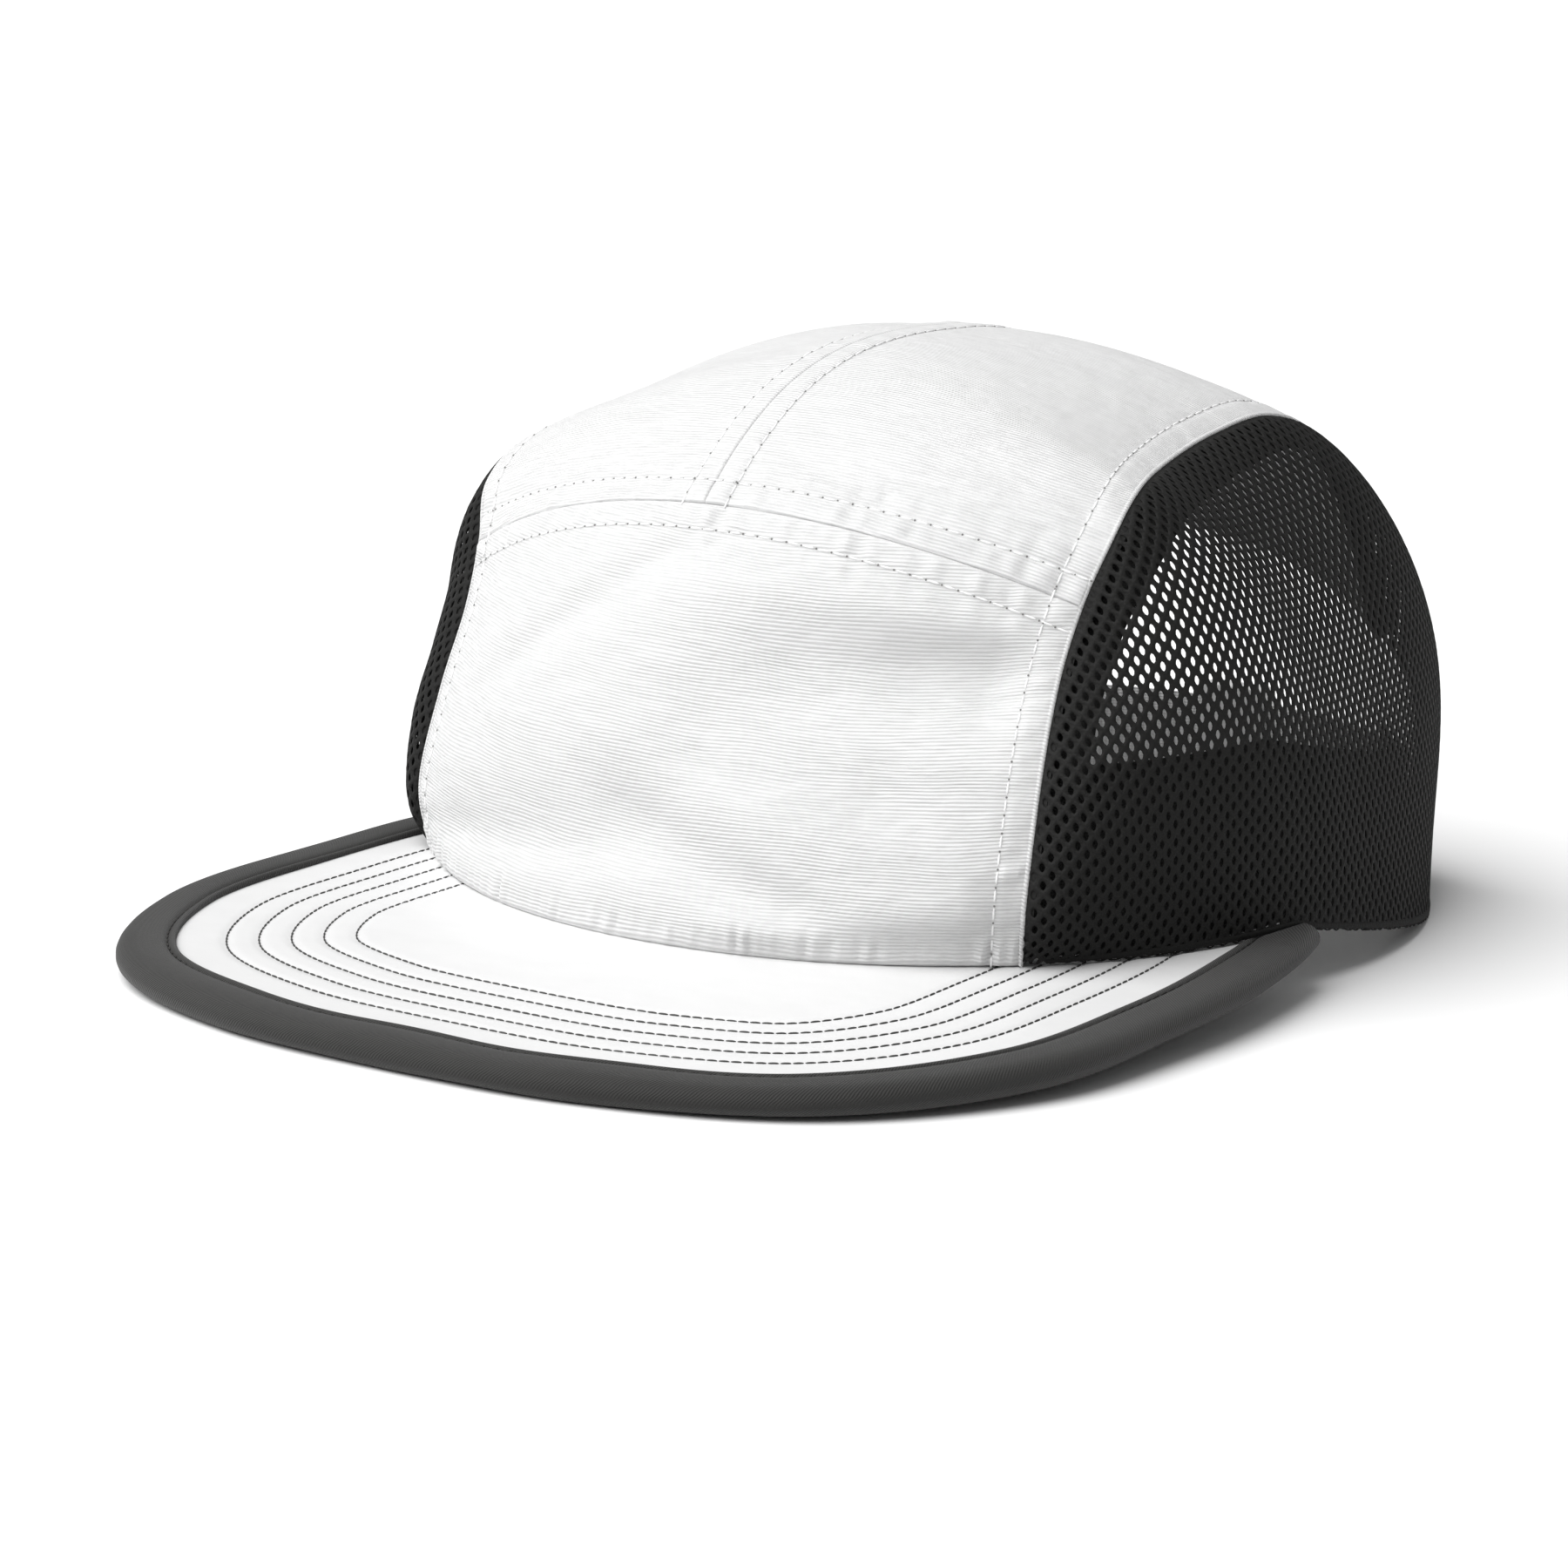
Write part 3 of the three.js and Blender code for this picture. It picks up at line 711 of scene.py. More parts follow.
def side_point(side, t, w):
    """A mesh side: t as on the white strip, and w from the arch seam (0) to the hem (1)."""
    t, w = np.broadcast_arrays(t, w)
    seam = along_rows(SECTIONS, t)
    ahead = along_rows(SECTIONS, t + 0.01)[..., 2:5]
    behind = along_rows(SECTIONS, t - 0.01)[..., 2:5]
    chord = hem_point(CORNER_ANGLE + (BACK_ANGLE - CORNER_ANGLE) * t / LAST_ROW) - seam[..., 2:5]
    out = unit(np.cross(ahead - behind, chord))
    out = np.where(out[..., :1] < 0, -out, out)
    bulge = seam[..., 6] * np.sin(math.pi * w**BULGE_POWER)
    points = seam[..., 2:5] + chord * w[..., None] + out * bulge[..., None]
    points[..., 0] *= side
    return lean(points)


def beside_edge(side, t, lengths, from_hem=False):
    """Points of a mesh side at lengths from its arch seam, or from its hem, on each row t."""
    w = np.linspace(0, 1, 241)
    run = run_along(side_point(side, t[:, None], w), 1)
    shares = np.array([np.interp(line[-1] - lengths if from_hem else lengths, line, w) for line in run])
    return side_point(side, t[:, None], shares)


def lip(side, t):
    """The turned edge of the white cloth over the start of the mesh, and its outward way."""
    on_mesh = np.maximum(t, MESH_FOOT)
    points = beside_edge(side, on_mesh, np.array([0, *LIP_PLACES]))
    points += (strip_point(t, side) - strip_point(on_mesh, side))[:, None]
    out = outward_of(points)[:, 1:]
    return points[:, 1:] + out * np.array(LIP_RISES)[:, None], out


def front_crease(t, u):
    """How deep the front panel's creases and dents lie, at crown row t and share across u."""
    depth = 0
    for across_a, up_a, across_b, up_b, above, below, deep in FRONT_CREASES:
        run = np.array([(across_b - across_a) * FOLD_WIDE, (up_b - up_a) * FOLD_TALL])
        length = np.hypot(*run)
        run = run / length
        x = (u - across_a) * FOLD_WIDE
        y = (t - up_a) * FOLD_TALL
        along = x * run[0] + y * run[1]
        beside = y * run[0] - x * run[1]
        past = np.maximum(0, np.maximum(-along, along - length)) / FOLD_END
        spread = np.where(beside > 0, above, below) * MM
        depth = depth + deep * MM * np.exp(-((beside / spread) ** 2) - past**2)
    rim = smooth(t, 0, 0.25) * (1 - smooth(t, 3.55, 3.95)) * (1 - smooth(np.abs(u), 0.84, 1))
    return depth * rim


def waves(along, shortest, longest, seed):
    """Uneven ripples along a seam, about 1 high, the same on each run."""
    draw = np.random.default_rng(seed)
    ripple = np.zeros_like(along)
    for length in np.geomspace(shortest, longest, 6):
        ripple += np.sin(2 * math.pi * along / length + draw.uniform(0, 6.3)) * draw.uniform(0.4, 1)
    patchy = np.sin(2 * math.pi * along / (longest * 3.1) + draw.uniform(0, 6.3))
    return ripple / 2.2 * (0.65 + 0.35 * patchy)


def seam_relief(distance, along, seed, pucker=0.25 * MM, row=TOPSTITCH, cleft=0.2 * MM):
    """Height beside a topstitched seam: a padded fold, the stitch row and puckers."""
    slit = -cleft * np.exp(-((distance / (0.3 * MM)) ** 2))
    fold = 0.32 * MM * (1 - smooth(distance, row - 0.9 * MM, row + 0.9 * MM))
    pressed = -0.2 * MM * np.exp(-(((distance - row) / (0.6 * MM)) ** 2))
    inside = smooth(distance, 0, 1.5 * MM) * (1 - smooth(distance, 0.75 * row, 1.1 * row))
    beyond = smooth(distance, row, 1.4 * row) * (1 - smooth(distance, 1.4 * row, 2.4 * row))
    ripple = waves(along, 4 * MM, 9 * MM, seed)
    return slit + fold + pressed + pucker * ripple * (inside + 0.6 * beyond)


def turned_edge(distance, radius):
    """How far a turned edge rounds down towards its seam."""
    left = np.clip(1 - distance / radius, 0, 1)
    return radius * (1 - np.sqrt(1 - left * left))


def ribbed_nylon():
    material, shader, across, up = new_cloth("white ribbed nylon", 0.5, 0.1)
    shader.inputs["Subsurface Weight"].default_value = 0.5
    shader.inputs["Subsurface Radius"].default_value = (1, 1, 1)
    shader.inputs["Subsurface Scale"].default_value = 3 * MM
    wander = streaks(across, up, 26 * MM, 12 * MM, 1)
    place = maths("MULTIPLY_ADD", wander, 2.2 * MM, up)
    rib = ridges(place, 0.62 * MM)
    slub = streaks(across, up, 6 * MM, 0.4 * MM, 3)
    crumple = streaks(across, up, 7 * MM, 5 * MM, 3)
    # The rib grooves are painted darker than the rib crests: painted shade in the grooves. The slub
    # streaks add the yarn's own uneven tone.
    tone = maths("MULTIPLY_ADD", rib, 0.55, maths("MULTIPLY", slub, 0.6))
    colour_between(shader, tone, (0.58, 0.58, 0.58), (0.85, 0.85, 0.85))
    height = maths("MULTIPLY_ADD", slub, 1.2, rib)
    bump(shader, maths("MULTIPLY_ADD", crumple, 5.0, height), 0.13 * MM, 1.0)
    return material


NYLON_CLOTH = ribbed_nylon()
WHITE_THREAD = thread_of("white thread", (0.72, 0.72, 0.72), 0.5)
FINE = [0.12 * MM, 0.3 * MM, 0.6 * MM, 1.0 * MM, 1.5 * MM]

front_u = crowded(-1, 1, 241, FINE, 150 * MM)[None, :]
front_t = crowded(0, CROSS_SEAM_ROW, 111, FINE, 95 * MM)[:, None]
front_base = strip_point(front_t, front_u)
front_across = run_along(front_base, 1)
front_up = run_along(front_base, 0)
front_width = front_across[:, -1:]
front_height = front_up[-1:, :]
to_side = np.minimum(front_across, front_width - front_across)
to_cross = front_height - front_up
side_seed = np.where(front_u < 0, 0, 40 * MM)
front_rise = (
    seam_relief(to_cross, front_across, 11, 0.4 * MM)
    + 0.8 * seam_relief(to_side, front_up + side_seed, 12, 0.4 * MM, cleft=0)
    - turned_edge(to_cross, SEAM_ROUND)
    - turned_edge(front_up, HEM_ROUND)
    - front_crease(front_t, front_u)
)
hem_ripple = waves(front_across, 2.4 * MM, 4.5 * MM, 13)
hem_reach = smooth(front_up, 0, 1.2 * MM) * (1 - smooth(front_up, 1.6 * MM, 7 * MM))
front_rise = front_rise + HEM_RIPPLE * hem_ripple * hem_reach
front_out = outward_of(front_base)
front_outer = front_base + front_out * front_rise[..., None]
front_outer[..., 2] -= HEM_ABOVE_PEAK * 0.9 * (1 - smooth(front_up, 0, 3 * MM))
left_lip, left_out = lip(1, front_t[:, 0])
right_lip, right_out = lip(-1, front_t[:, 0])
beyond = np.broadcast_to(LIP_PLACES, left_lip.shape[:2])
front_flat = front_across - front_width / 2
front = cloth_sheet(
    "front_panel_cloth",
    np.concatenate([right_lip[:, ::-1], front_outer, left_lip], 1),
    -np.concatenate([right_out[:, ::-1], front_out, left_out], 1),
    NYLON,
    np.concatenate([front_flat[:, :1] - beyond[:, ::-1], front_flat, front_flat[:, -1:] + beyond], 1),
    np.concatenate([front_up[:, :1] + 0 * beyond, front_up, front_up[:, -1:] + 0 * beyond], 1),
)
front.data.materials.append(NYLON_CLOTH)
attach(front, "root")
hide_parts("front_panel")

# Top panels
# Two panels of the same nylon, sewn together along the middle of the head and to the front
# panel across the forehead. Their back edge is turned under over the strap opening.

OPENING_ARCH = 0.35


def top_grid(side):
    """The crown rows and shares across of one top panel, from the cross seam to the back."""
    u = crowded(0, 1, 91, FINE, 75 * MM)[None, :]
    j = crowded(0, 1, 151, FINE, 150 * MM)[:, None]
    end = LAST_ROW - OPENING_ARCH * (1 - u * u)
    return CROSS_SEAM_ROW + (end - CROSS_SEAM_ROW) * j, side * u + 0 * j, j[:, 0], u[0]


top_outer = {}
for side, name, seed in ((1, "left", 21), (-1, "right", 31)):
    top_t, top_u, top_j, top_share = top_grid(side)
    base = strip_point(top_t, top_u)
    across = run_along(base, 1)
    up = run_along(base, 0)
    to_side = across[:, -1:] - across
    to_back = up[-1:, :] - up
    rise = (
        seam_relief(up, across, seed, 0.34 * MM)
        + seam_relief(across, up, seed + 1, 0.12 * MM)
        + 0.8 * seam_relief(to_side, up, seed + 2, 0.25 * MM, cleft=0)
        + 0.4 * seam_relief(to_back, across, seed + 3, 0.2 * MM)
        - turned_edge(across, SEAM_ROUND)
        - turned_edge(up, SEAM_ROUND)
    )
    sag = 0.5 * MM * waves(up + 0.5 * across, 26 * MM, 60 * MM, seed + 4)
    calm = smooth(to_side, 6 * MM, 20 * MM) * smooth(up, 6 * MM, 20 * MM)
    rise = rise + sag * calm * smooth(across, 3 * MM, 16 * MM)
    out = outward_of(base)
    top_outer[side] = base + out * rise[..., None]
    top_lip, lip_out = lip(side, top_t[:, -1])
    beyond = np.broadcast_to(LIP_PLACES, top_lip.shape[:2])
    top = cloth_sheet(
        f"top_panel_{name}_cloth",
        np.concatenate([top_outer[side], top_lip], 1),
        -np.concatenate([out, lip_out], 1),
        NYLON,
        side * np.concatenate([across, across[:, -1:] + beyond], 1),
        np.concatenate([up, up[:, -1:] + 0 * beyond], 1),
    )
    top.data.materials.append(NYLON_CLOTH)
    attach(top, "root")
    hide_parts(f"top_panel_{name}")

# Stitches of the crown
# White lock stitch about 5 mm either side of the cross seam and the middle seam, and one row
# on the white cloth beside each arch seam. The needle holes are painted shade: small grey dots.

STITCHED_SHARE = 0.985


def on_cloth(outer, rows, columns, row, column):
    """Points of a panel's outer grid at places between its own rows and columns."""
    i = np.clip(np.searchsorted(rows, row) - 1, 0, len(rows) - 2)
    k = np.clip(np.searchsorted(columns, column) - 1, 0, len(columns) - 2)
    a = np.clip((row - rows[i]) / (rows[i + 1] - rows[i]), 0, 1)[:, None]
    b = np.clip((column - columns[k]) / (columns[k + 1] - columns[k]), 0, 1)[:, None]
    near = outer[i, k] * (1 - b) + outer[i, k + 1] * b
    far = outer[i + 1, k] * (1 - b) + outer[i + 1, k + 1] * b
    return near * (1 - a) + far * a


def crown_row(t, u):
    """A row of stitches on the front panel or a top panel, at crown rows t and shares u."""
    step = 0.02
    along_t = strip_point(t + step, u) - strip_point(t - step, u)
    along_u = strip_point(t, u + step) - strip_point(t, u - step)
    out = unit(np.cross(along_u, along_t))
    if t.mean() < CROSS_SEAM_ROW:
        points = on_cloth(front_outer, front_t[:, 0], front_u[0], t, u)
    else:
        end = LAST_ROW - OPENING_ARCH * (1 - u * u)
        j = (t - CROSS_SEAM_ROW) / (end - CROSS_SEAM_ROW)
        points = on_cloth(top_outer[1 if u.mean() > 0 else -1], top_j, top_share, j, np.abs(u))
    return points + out * 0.04 * MM, out


def share_at(distance, t, from_middle=False):
    """The share across at a distance from the side seam, or from the middle, for each t."""
    u = np.linspace(0, 1, 201)
    width = run_along(strip_point(t[:, None], u), 1)
    wanted = [distance if from_middle else line[-1] - distance for line in width]
    return np.array([np.interp(want, line, u) for want, line in zip(wanted, width)])


def row_at(distance, u, way):
    """The crown row at a distance from the cross seam, for each share across u."""
    t = CROSS_SEAM_ROW + way * np.linspace(0, 1, 101)
    length = run_along(strip_point(t[:, None], u), 0)
    return np.array([np.interp(distance, length[:, k], t) for k in range(len(u))])


across_shares = np.linspace(-STITCHED_SHARE, STITCHED_SHARE, 240)
crown_rows = [crown_row(row_at(TOPSTITCH, across_shares, -1), across_shares)]
front_rows = np.linspace(0.06, CROSS_SEAM_ROW - 0.02, 120)
top_rows = np.linspace(CROSS_SEAM_ROW + 0.02, LAST_ROW - 0.04, 220)
middle_rows = np.linspace(CROSS_SEAM_ROW + 0.02, LAST_ROW - OPENING_ARCH - 0.04, 200)
half_shares = np.linspace(0.004, STITCHED_SHARE, 120)
for side in (1, -1):
    crown_rows.append(crown_row(row_at(TOPSTITCH, side * half_shares, 1), side * half_shares))
    crown_rows.append(crown_row(middle_rows, side * share_at(TOPSTITCH, middle_rows, True)))
    crown_rows.append(crown_row(front_rows, side * share_at(TOPSTITCH, front_rows)))
    crown_rows.append(crown_row(top_rows, side * share_at(TOPSTITCH, top_rows)))
crown_stitches = sewn_rows(
    "crown_stitches", crown_rows, WHITE_PITCH, WHITE_THREAD_RADIUS, WHITE_THREAD, NEEDLE
)
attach(crown_stitches, "root")

# Mesh side panels
# Black knitted net with staggered oval holes, cut flat and sewn into the arch of the white
# strip and to the hem. The holes are cut through, so the inside of the cap shows.

NET_ACROSS = 2.83 * MM
NET_UP = 3.12 * MM
HOLE_ACROSS = 0.97 * MM
HOLE_UP = 1.72 * MM
NET_YARN = 0.26 * MM
NET_DIP = 0.07 * MM
HOLE_POINTED = 0.92
NET_OVER_EDGE = 0.9 * MM
NET_ROUND = 1.6 * MM
RELAX_ROUNDS = 700
RELAX_SHARE = 0.28
EDGE_FOOT = 0.4
EDGE_CLOTH = 0.4 * MM
SEAM_EDGE = np.array([0, 0.4, 0.8, 1.2, 1.8, 2.6]) * MM
SEAM_EDGE_RISE = np.full(6, -0.3) * MM
HEM_EDGE = np.array([0, 0.15, 0.4, 0.9, 1.3, 1.5]) * MM
HEM_EDGE_RISE = np.array([-0.4, 0, 0.1, 0.12, 0.06, -0.1]) * MM


def laid_flat(points):
    """The flat cut of a curved panel: its grid is relaxed in the plane to its own lengths."""
    lengths = run_along(points[:, ::-1], 1)[:, ::-1]
    hem = points[:, -1]
    start = np.stack([run_along(hem[:, None], 0)[:, 0], hem[:, 2]], -1)
    way = unit(np.gradient(hem, axis=0) * (1, 1, 0))
    away = points - hem[:, None]
    slant = unit(np.stack([(away * way[:, None]).sum(-1), away[..., 2]], -1))
    flat = start[:, None] + slant * lengths[..., None]
    pairs = [
        (np.s_[1:, :], np.s_[:-1, :]),
        (np.s_[:, 1:], np.s_[:, :-1]),
        (np.s_[1:, 1:], np.s_[:-1, :-1]),
        (np.s_[1:, :-1], np.s_[:-1, 1:]),
    ]
    rests = [size_of(points[a] - points[b]) for a, b in pairs]
    for _ in range(RELAX_ROUNDS):
        push = np.zeros_like(flat)
        for (a, b), rest in zip(pairs, rests):
            gap = flat[a] - flat[b]
            length = np.maximum(size_of(gap), 1e-9)
            pull = gap * ((rest - length) / length * 0.5)[..., None]
            push[a] += pull
            push[b] -= pull
        flat += push * RELAX_SHARE
    return flat


def net_cell():
    """One hole with its share of the yarn: a rhombus round an oval, dipping to the hole."""
    turns = np.radians(np.arange(8) * 45)
    wide, tall = NET_ACROSS / 4, NET_UP / 4
    rim = [(2 * wide, 0), (wide, tall), (0, 2 * tall), (-wide, tall)]
    rim += [(-x, -y) for x, y in rim]
    outer = [(x, y, 0) for x, y in rim]
    hole = []
    for x, y in zip(np.cos(turns), np.sin(turns)):
        pointed = HOLE_POINTED if abs(x * y) > 0.1 else 1
        hole.append((HOLE_ACROSS / 2 * x * pointed, HOLE_UP / 2 * y * pointed, -NET_DIP))
    k = np.pad(np.arange(16).reshape(2, 8), ((0, 0), (0, 1)), "wrap")
    return stood("net_cell", new_mesh("net_cell", outer + hole, [], grid_faces(k).tolist()))


def net_tree():
    """Staggered net cells over a flat cut, carried from the flat cut onto the crown."""
    sockets = {
        "Flat cut": "Geometry", "Cell": "Object", "Across": "Float", "Up": "Float",
        "Columns": "Int", "Rows": "Int", "Yarn": "Material",
    }
    tree, given = new_tree("net", sockets, "Net")
    cut, columns, rows = given["Flat cut"], given["Columns"], given["Rows"]
    half_up = maths("MULTIPLY", given["Up"], 0.5)
    wide = maths("MULTIPLY", maths("SUBTRACT", columns, 1.0), given["Across"])
    tall = maths("MULTIPLY", maths("SUBTRACT", rows, 1.0), half_up)
    spread = {"Size X": wide, "Size Y": tall, "Vertices X": columns, "Vertices Y": rows}
    places = put(tree, "GeometryNodeMeshGrid", spread)
    spot = put(tree, "GeometryNodeInputPosition")
    parts = node(tree, "ShaderNodeSeparateXYZ", {0: spot}).outputs
    row = maths("ROUND", maths("DIVIDE", parts[1], half_up))
    odd = maths("FLOORED_MODULO", row, 2.0)
    shift = maths("MULTIPLY", odd, maths("MULTIPLY", given["Across"], 0.5))
    aside = put(tree, "ShaderNodeCombineXYZ", {0: shift})
    staggered = put(tree, "GeometryNodeSetPosition", {"Geometry": places, "Offset": aside})
    reach = node(tree, "GeometryNodeProximity", {0: cut}, target_element="FACES").outputs["Distance"]
    limits = {"A": reach, "B": NET_OVER_EDGE}
    outside = put(tree, "FunctionNodeCompare", limits, data_type="FLOAT", operation="GREATER_THAN")
    chosen = {"Geometry": staggered, "Selection": outside}
    inside = put(tree, "GeometryNodeDeleteGeometry", chosen, domain="POINT")
    cell = node(tree, "GeometryNodeObjectInfo", {"Object": given["Cell"]}).outputs["Geometry"]
    laid = put(tree, "GeometryNodeInstanceOnPoints", {"Points": inside, "Instance": cell})
    whole = put(tree, "GeometryNodeRealizeInstances", {"Geometry": laid})
    joined = put(tree, "GeometryNodeMergeByDistance", {"Geometry": whole, "Distance": 0.05 * MM})
    flat_spot = put(tree, "ShaderNodeVectorMath", {0: spot, 1: (1, 1, 0)}, operation="MULTIPLY")
    vector = {"data_type": "FLOAT_VECTOR"}
    carried = []
    for attribute in ("crown", "outward"):
        value = put(tree, "GeometryNodeInputNamedAttribute", {"Name": attribute}, **vector)
        asked = {"Mesh": cut, "Value": value, "Sample Position": flat_spot}
        carried.append(node(tree, "GeometryNodeSampleNearestSurface", asked, **vector).outputs["Value"])
    sunk = put(tree, "ShaderNodeVectorMath", {0: carried[1], "Scale": parts[2]}, operation="SCALE")
    onto = put(tree, "ShaderNodeVectorMath", {0: carried[0], 1: sunk}, operation="ADD")
    draped = put(tree, "GeometryNodeSetPosition", {"Geometry": joined, "Position": onto})
    closed = put(tree, "GeometryNodeMergeByDistance", {"Geometry": draped, "Distance": 0.04 * MM})
    rounded = put(tree, "GeometryNodeSetShadeSmooth", {"Geometry": closed})
    dyed = put(tree, "GeometryNodeSetMaterial", {"Geometry": rounded, "Material": given["Yarn"]})
    node(tree, "NodeGroupOutput", {"Net": dyed})
    return tree


def net_yarn():
    material, shader = new_paint("black net yarn", 0.75)
    shader.inputs["Specular IOR Level"].default_value = 0.25
    fibres = specks(shader, 1900.0, 3.0)
    patches = specks(shader, 60.0, 2.0)
    tone = maths("MULTIPLY_ADD", patches, 0.4, maths("MULTIPLY", fibres, 0.6))
    colour_between(shader, tone, (0.003, 0.003, 0.0028), (0.012, 0.0117, 0.011))
    bump(shader, fibres, 0.18 * MM, 0.9)
    return material


def net_edge(name, points, rise):
    """A narrow closed edge of turned-in net over a grid of points, whose columns run inward."""
    out = outward_of(points)
    lengths = run_along(points, 1), run_along(points, 0)
    edge = cloth_sheet(name, points + out * rise[:, None], -out, EDGE_CLOTH, *lengths)
    edge.data.materials.append(NET_YARN_CLOTH)
    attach(edge, "root")


NET = net_tree()
NET_YARN_CLOTH = net_yarn()
NET_CELL = net_cell()
net_grid_t = np.linspace(MESH_FOOT, LAST_ROW, 73)[:, None]
net_grid_w = (np.linspace(0, 1, 49) ** 1.2)[None, :]

for side, name in ((1, "left"), (-1, "right")):
    crown = side_point(side, net_grid_t, net_grid_w)
    out = outward_of(crown)
    to_seam = run_along(crown, 1)
    crown = crown - out * (turned_edge(to_seam, NET_ROUND) * 0.6)[..., None]
    flat = laid_flat(crown) * (side, 1)
    flat -= (flat.reshape(-1, 2).min(0) + flat.reshape(-1, 2).max(0)) / 2
    span = flat.reshape(-1, 2).max(0)
    faces = grid_faces(np.arange(flat[..., 0].size).reshape(flat.shape[:2])).tolist()
    mesh = new_mesh(f"net_cut_{name}", np.insert(flat.reshape(-1, 2), 2, 0, axis=1), [], faces)
    for attribute, vectors in (("crown", crown), ("outward", out)):
        layer = mesh.attributes.new(attribute, "FLOAT_VECTOR", "POINT")
        layer.data.foreach_set("vector", vectors.ravel())
    net = stood(f"net_cut_{name}", mesh)
    values = {
        "Cell": NET_CELL,
        "Across": NET_ACROSS,
        "Up": NET_UP,
        "Columns": 2 * math.ceil(span[0] / NET_ACROSS) + 3,
        "Rows": 4 * math.ceil(span[1] / NET_UP) + 3,
        "Yarn": NET_YARN_CLOTH,
    }
    grow(net, NET, values)
    yarn = net.modifiers.new("yarn", "SOLIDIFY")
    yarn.thickness = NET_YARN
    yarn.offset = -1
    net = plain_mesh(net, f"side_panel_{name}_net")
    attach(net, "root")
    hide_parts(f"side_panel_{name}")
    edge_rows = np.linspace(EDGE_FOOT, LAST_ROW, 241)
    seam_edge = beside_edge(side, edge_rows, SEAM_EDGE)
    net_edge(f"side_panel_{name}_seam_edge", seam_edge, SEAM_EDGE_RISE)
    hem_edge = beside_edge(side, edge_rows, HEM_EDGE, True)
    net_edge(f"side_panel_{name}_hem_edge", hem_edge, HEM_EDGE_RISE)
bpy.data.objects.remove(NET_CELL)

# Seam tapes
# Dark woven tape sewn over the raw edges inside each arch seam. It shows through the net
# as a solid band beside the white cloth.

TAPE_WIDTH = 9.5 * MM
TAPE_CLOTH = 0.7 * MM
TAPE_FOOT = 2.15
TAPE_BEHIND = 1.9 * MM
TAPE_UNDER_WHITE = 2.5 * MM
TAPE_TAPER = 0.5
TAPE_TAPER_FROM = 6


def dark_band_cloth():
    material, shader, across, up = new_cloth("dark band cloth", 0.85, 0.1)
    weave = maths("ADD", ridges(across, 0.5 * MM), ridges(up, 0.5 * MM))
    worn = streaks(across, up, 6 * MM, 3 * MM, 3)
    colour_between(shader, worn, (0.009, 0.009, 0.0085), (0.02, 0.0195, 0.018))
    bump(shader, weave, 0.06 * MM, 0.6)
    return material


BAND = dark_band_cloth()
for side, name in ((1, "left"), (-1, "right")):
    t = np.linspace(TAPE_FOOT, LAST_ROW - 0.1, 141)[:, None]
    w = np.linspace(0.005, 0.4, 60)[None, :]
    length = run_along(side_point(side, t, w), 1)
    place = np.linspace(0.3 * MM, TAPE_WIDTH, 9)
    taper = 1 - TAPE_TAPER * smooth(t, TAPE_TAPER_FROM, LAST_ROW)
    shares = np.array([np.interp(place * part, line, w[0]) for part, line in zip(taper, length)])
    points = side_point(side, t, shares)
    out = outward_of(points)
    inside = points - out * TAPE_BEHIND
    under_white = inside[:, :1] + (points[:, :1] - points[:, 1:2]) / place[1] * TAPE_UNDER_WHITE
    under_white += out[:, :1] * (TAPE_BEHIND - NYLON - 0.4 * MM)
    inside = np.concatenate([under_white, inside], 1)
    out = np.concatenate([out[:, :1], out], 1)
    across = np.broadcast_to(np.append(-TAPE_UNDER_WHITE, place), inside.shape[:2])
    tape = cloth_sheet(
        f"seam_tape_{name}_cloth", inside, -out, TAPE_CLOTH, run_along(inside, 0), across
    )
    tape.data.materials.append(BAND)
    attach(tape, "root")
    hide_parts(f"seam_tape_{name}")

# Sweatband
# A band of doubled cloth sewn to the hem and turned up inside, a little clear of the crown.
# It is dark outside, where it shows through the net as a straight line, and pale inside.

BAND_HEIGHT = 29.5 * MM
BAND_INSET = 3.2 * MM
BAND_THICK = 1.5 * MM
BAND_SIDE_LEAN = 4 * MM
BAND_FRONT_LEAN = 10 * MM
BAND_END = 139


def hem_inward(degrees):
    turn = np.radians(degrees)
    depth = np.where(np.cos(turn) > 0, HEM_FRONT, HEM_BACK)
    flat = np.stack([-np.sin(turn) / HEM_HALF_WIDTH, np.cos(turn) / depth, 0 * turn], -1)
    return unit(flat)


def pale_towelling():
    material, shader, across, up = new_cloth("pale towelling", 0.9, 0.2)
    loop = streaks(across, up, 0.9 * MM, 0.7 * MM, 2)
    colour_between(shader, loop, (0.72, 0.72, 0.71), (0.88, 0.88, 0.87))
    bump(shader, loop, 0.3 * MM, 0.8)
    return material


band_angles = np.linspace(-BAND_END, BAND_END, 281)
band_up = np.linspace(0, 1, 25)[:, None]
facing = np.maximum(np.cos(np.radians(band_angles)), 0) ** 2
lean_in = BAND_SIDE_LEAN + (BAND_FRONT_LEAN - BAND_SIDE_LEAN) * facing
inward = hem_inward(band_angles)
band_points = hem_point(band_angles) + inward * (BAND_INSET + lean_in * band_up)[..., None]
band_length = run_along(band_points, 1)
band_points[..., 2] += 0.3 * MM + BAND_HEIGHT * band_up
band_points = lean(band_points)
band_in = np.broadcast_to(turned(inward), band_points.shape)
roll = 0.4 * MM * (smooth(band_up, 0.9, 1) + 1 - smooth(band_up, 0, 0.06))
band = cloth_sheet(
    "sweatband_cloth",
    band_points + band_in * roll[..., None],
    band_in * (BAND_THICK - 2 * roll[..., None]),
    1,
    band_length,
    BAND_HEIGHT * band_up + 0 * band_length,
)
band.data.materials.append(BAND)
band.data.materials.append(pale_towelling())
inner_faces = np.arange(len(band.data.polygons))
outer_count = (len(band_angles) - 1) * (len(band_up) - 1)
inner = (inner_faces >= outer_count) & (inner_faces < 2 * outer_count)
band.data.polygons.foreach_set("material_index", inner.astype(np.int32))
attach(band, "root")
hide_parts("sweatband")

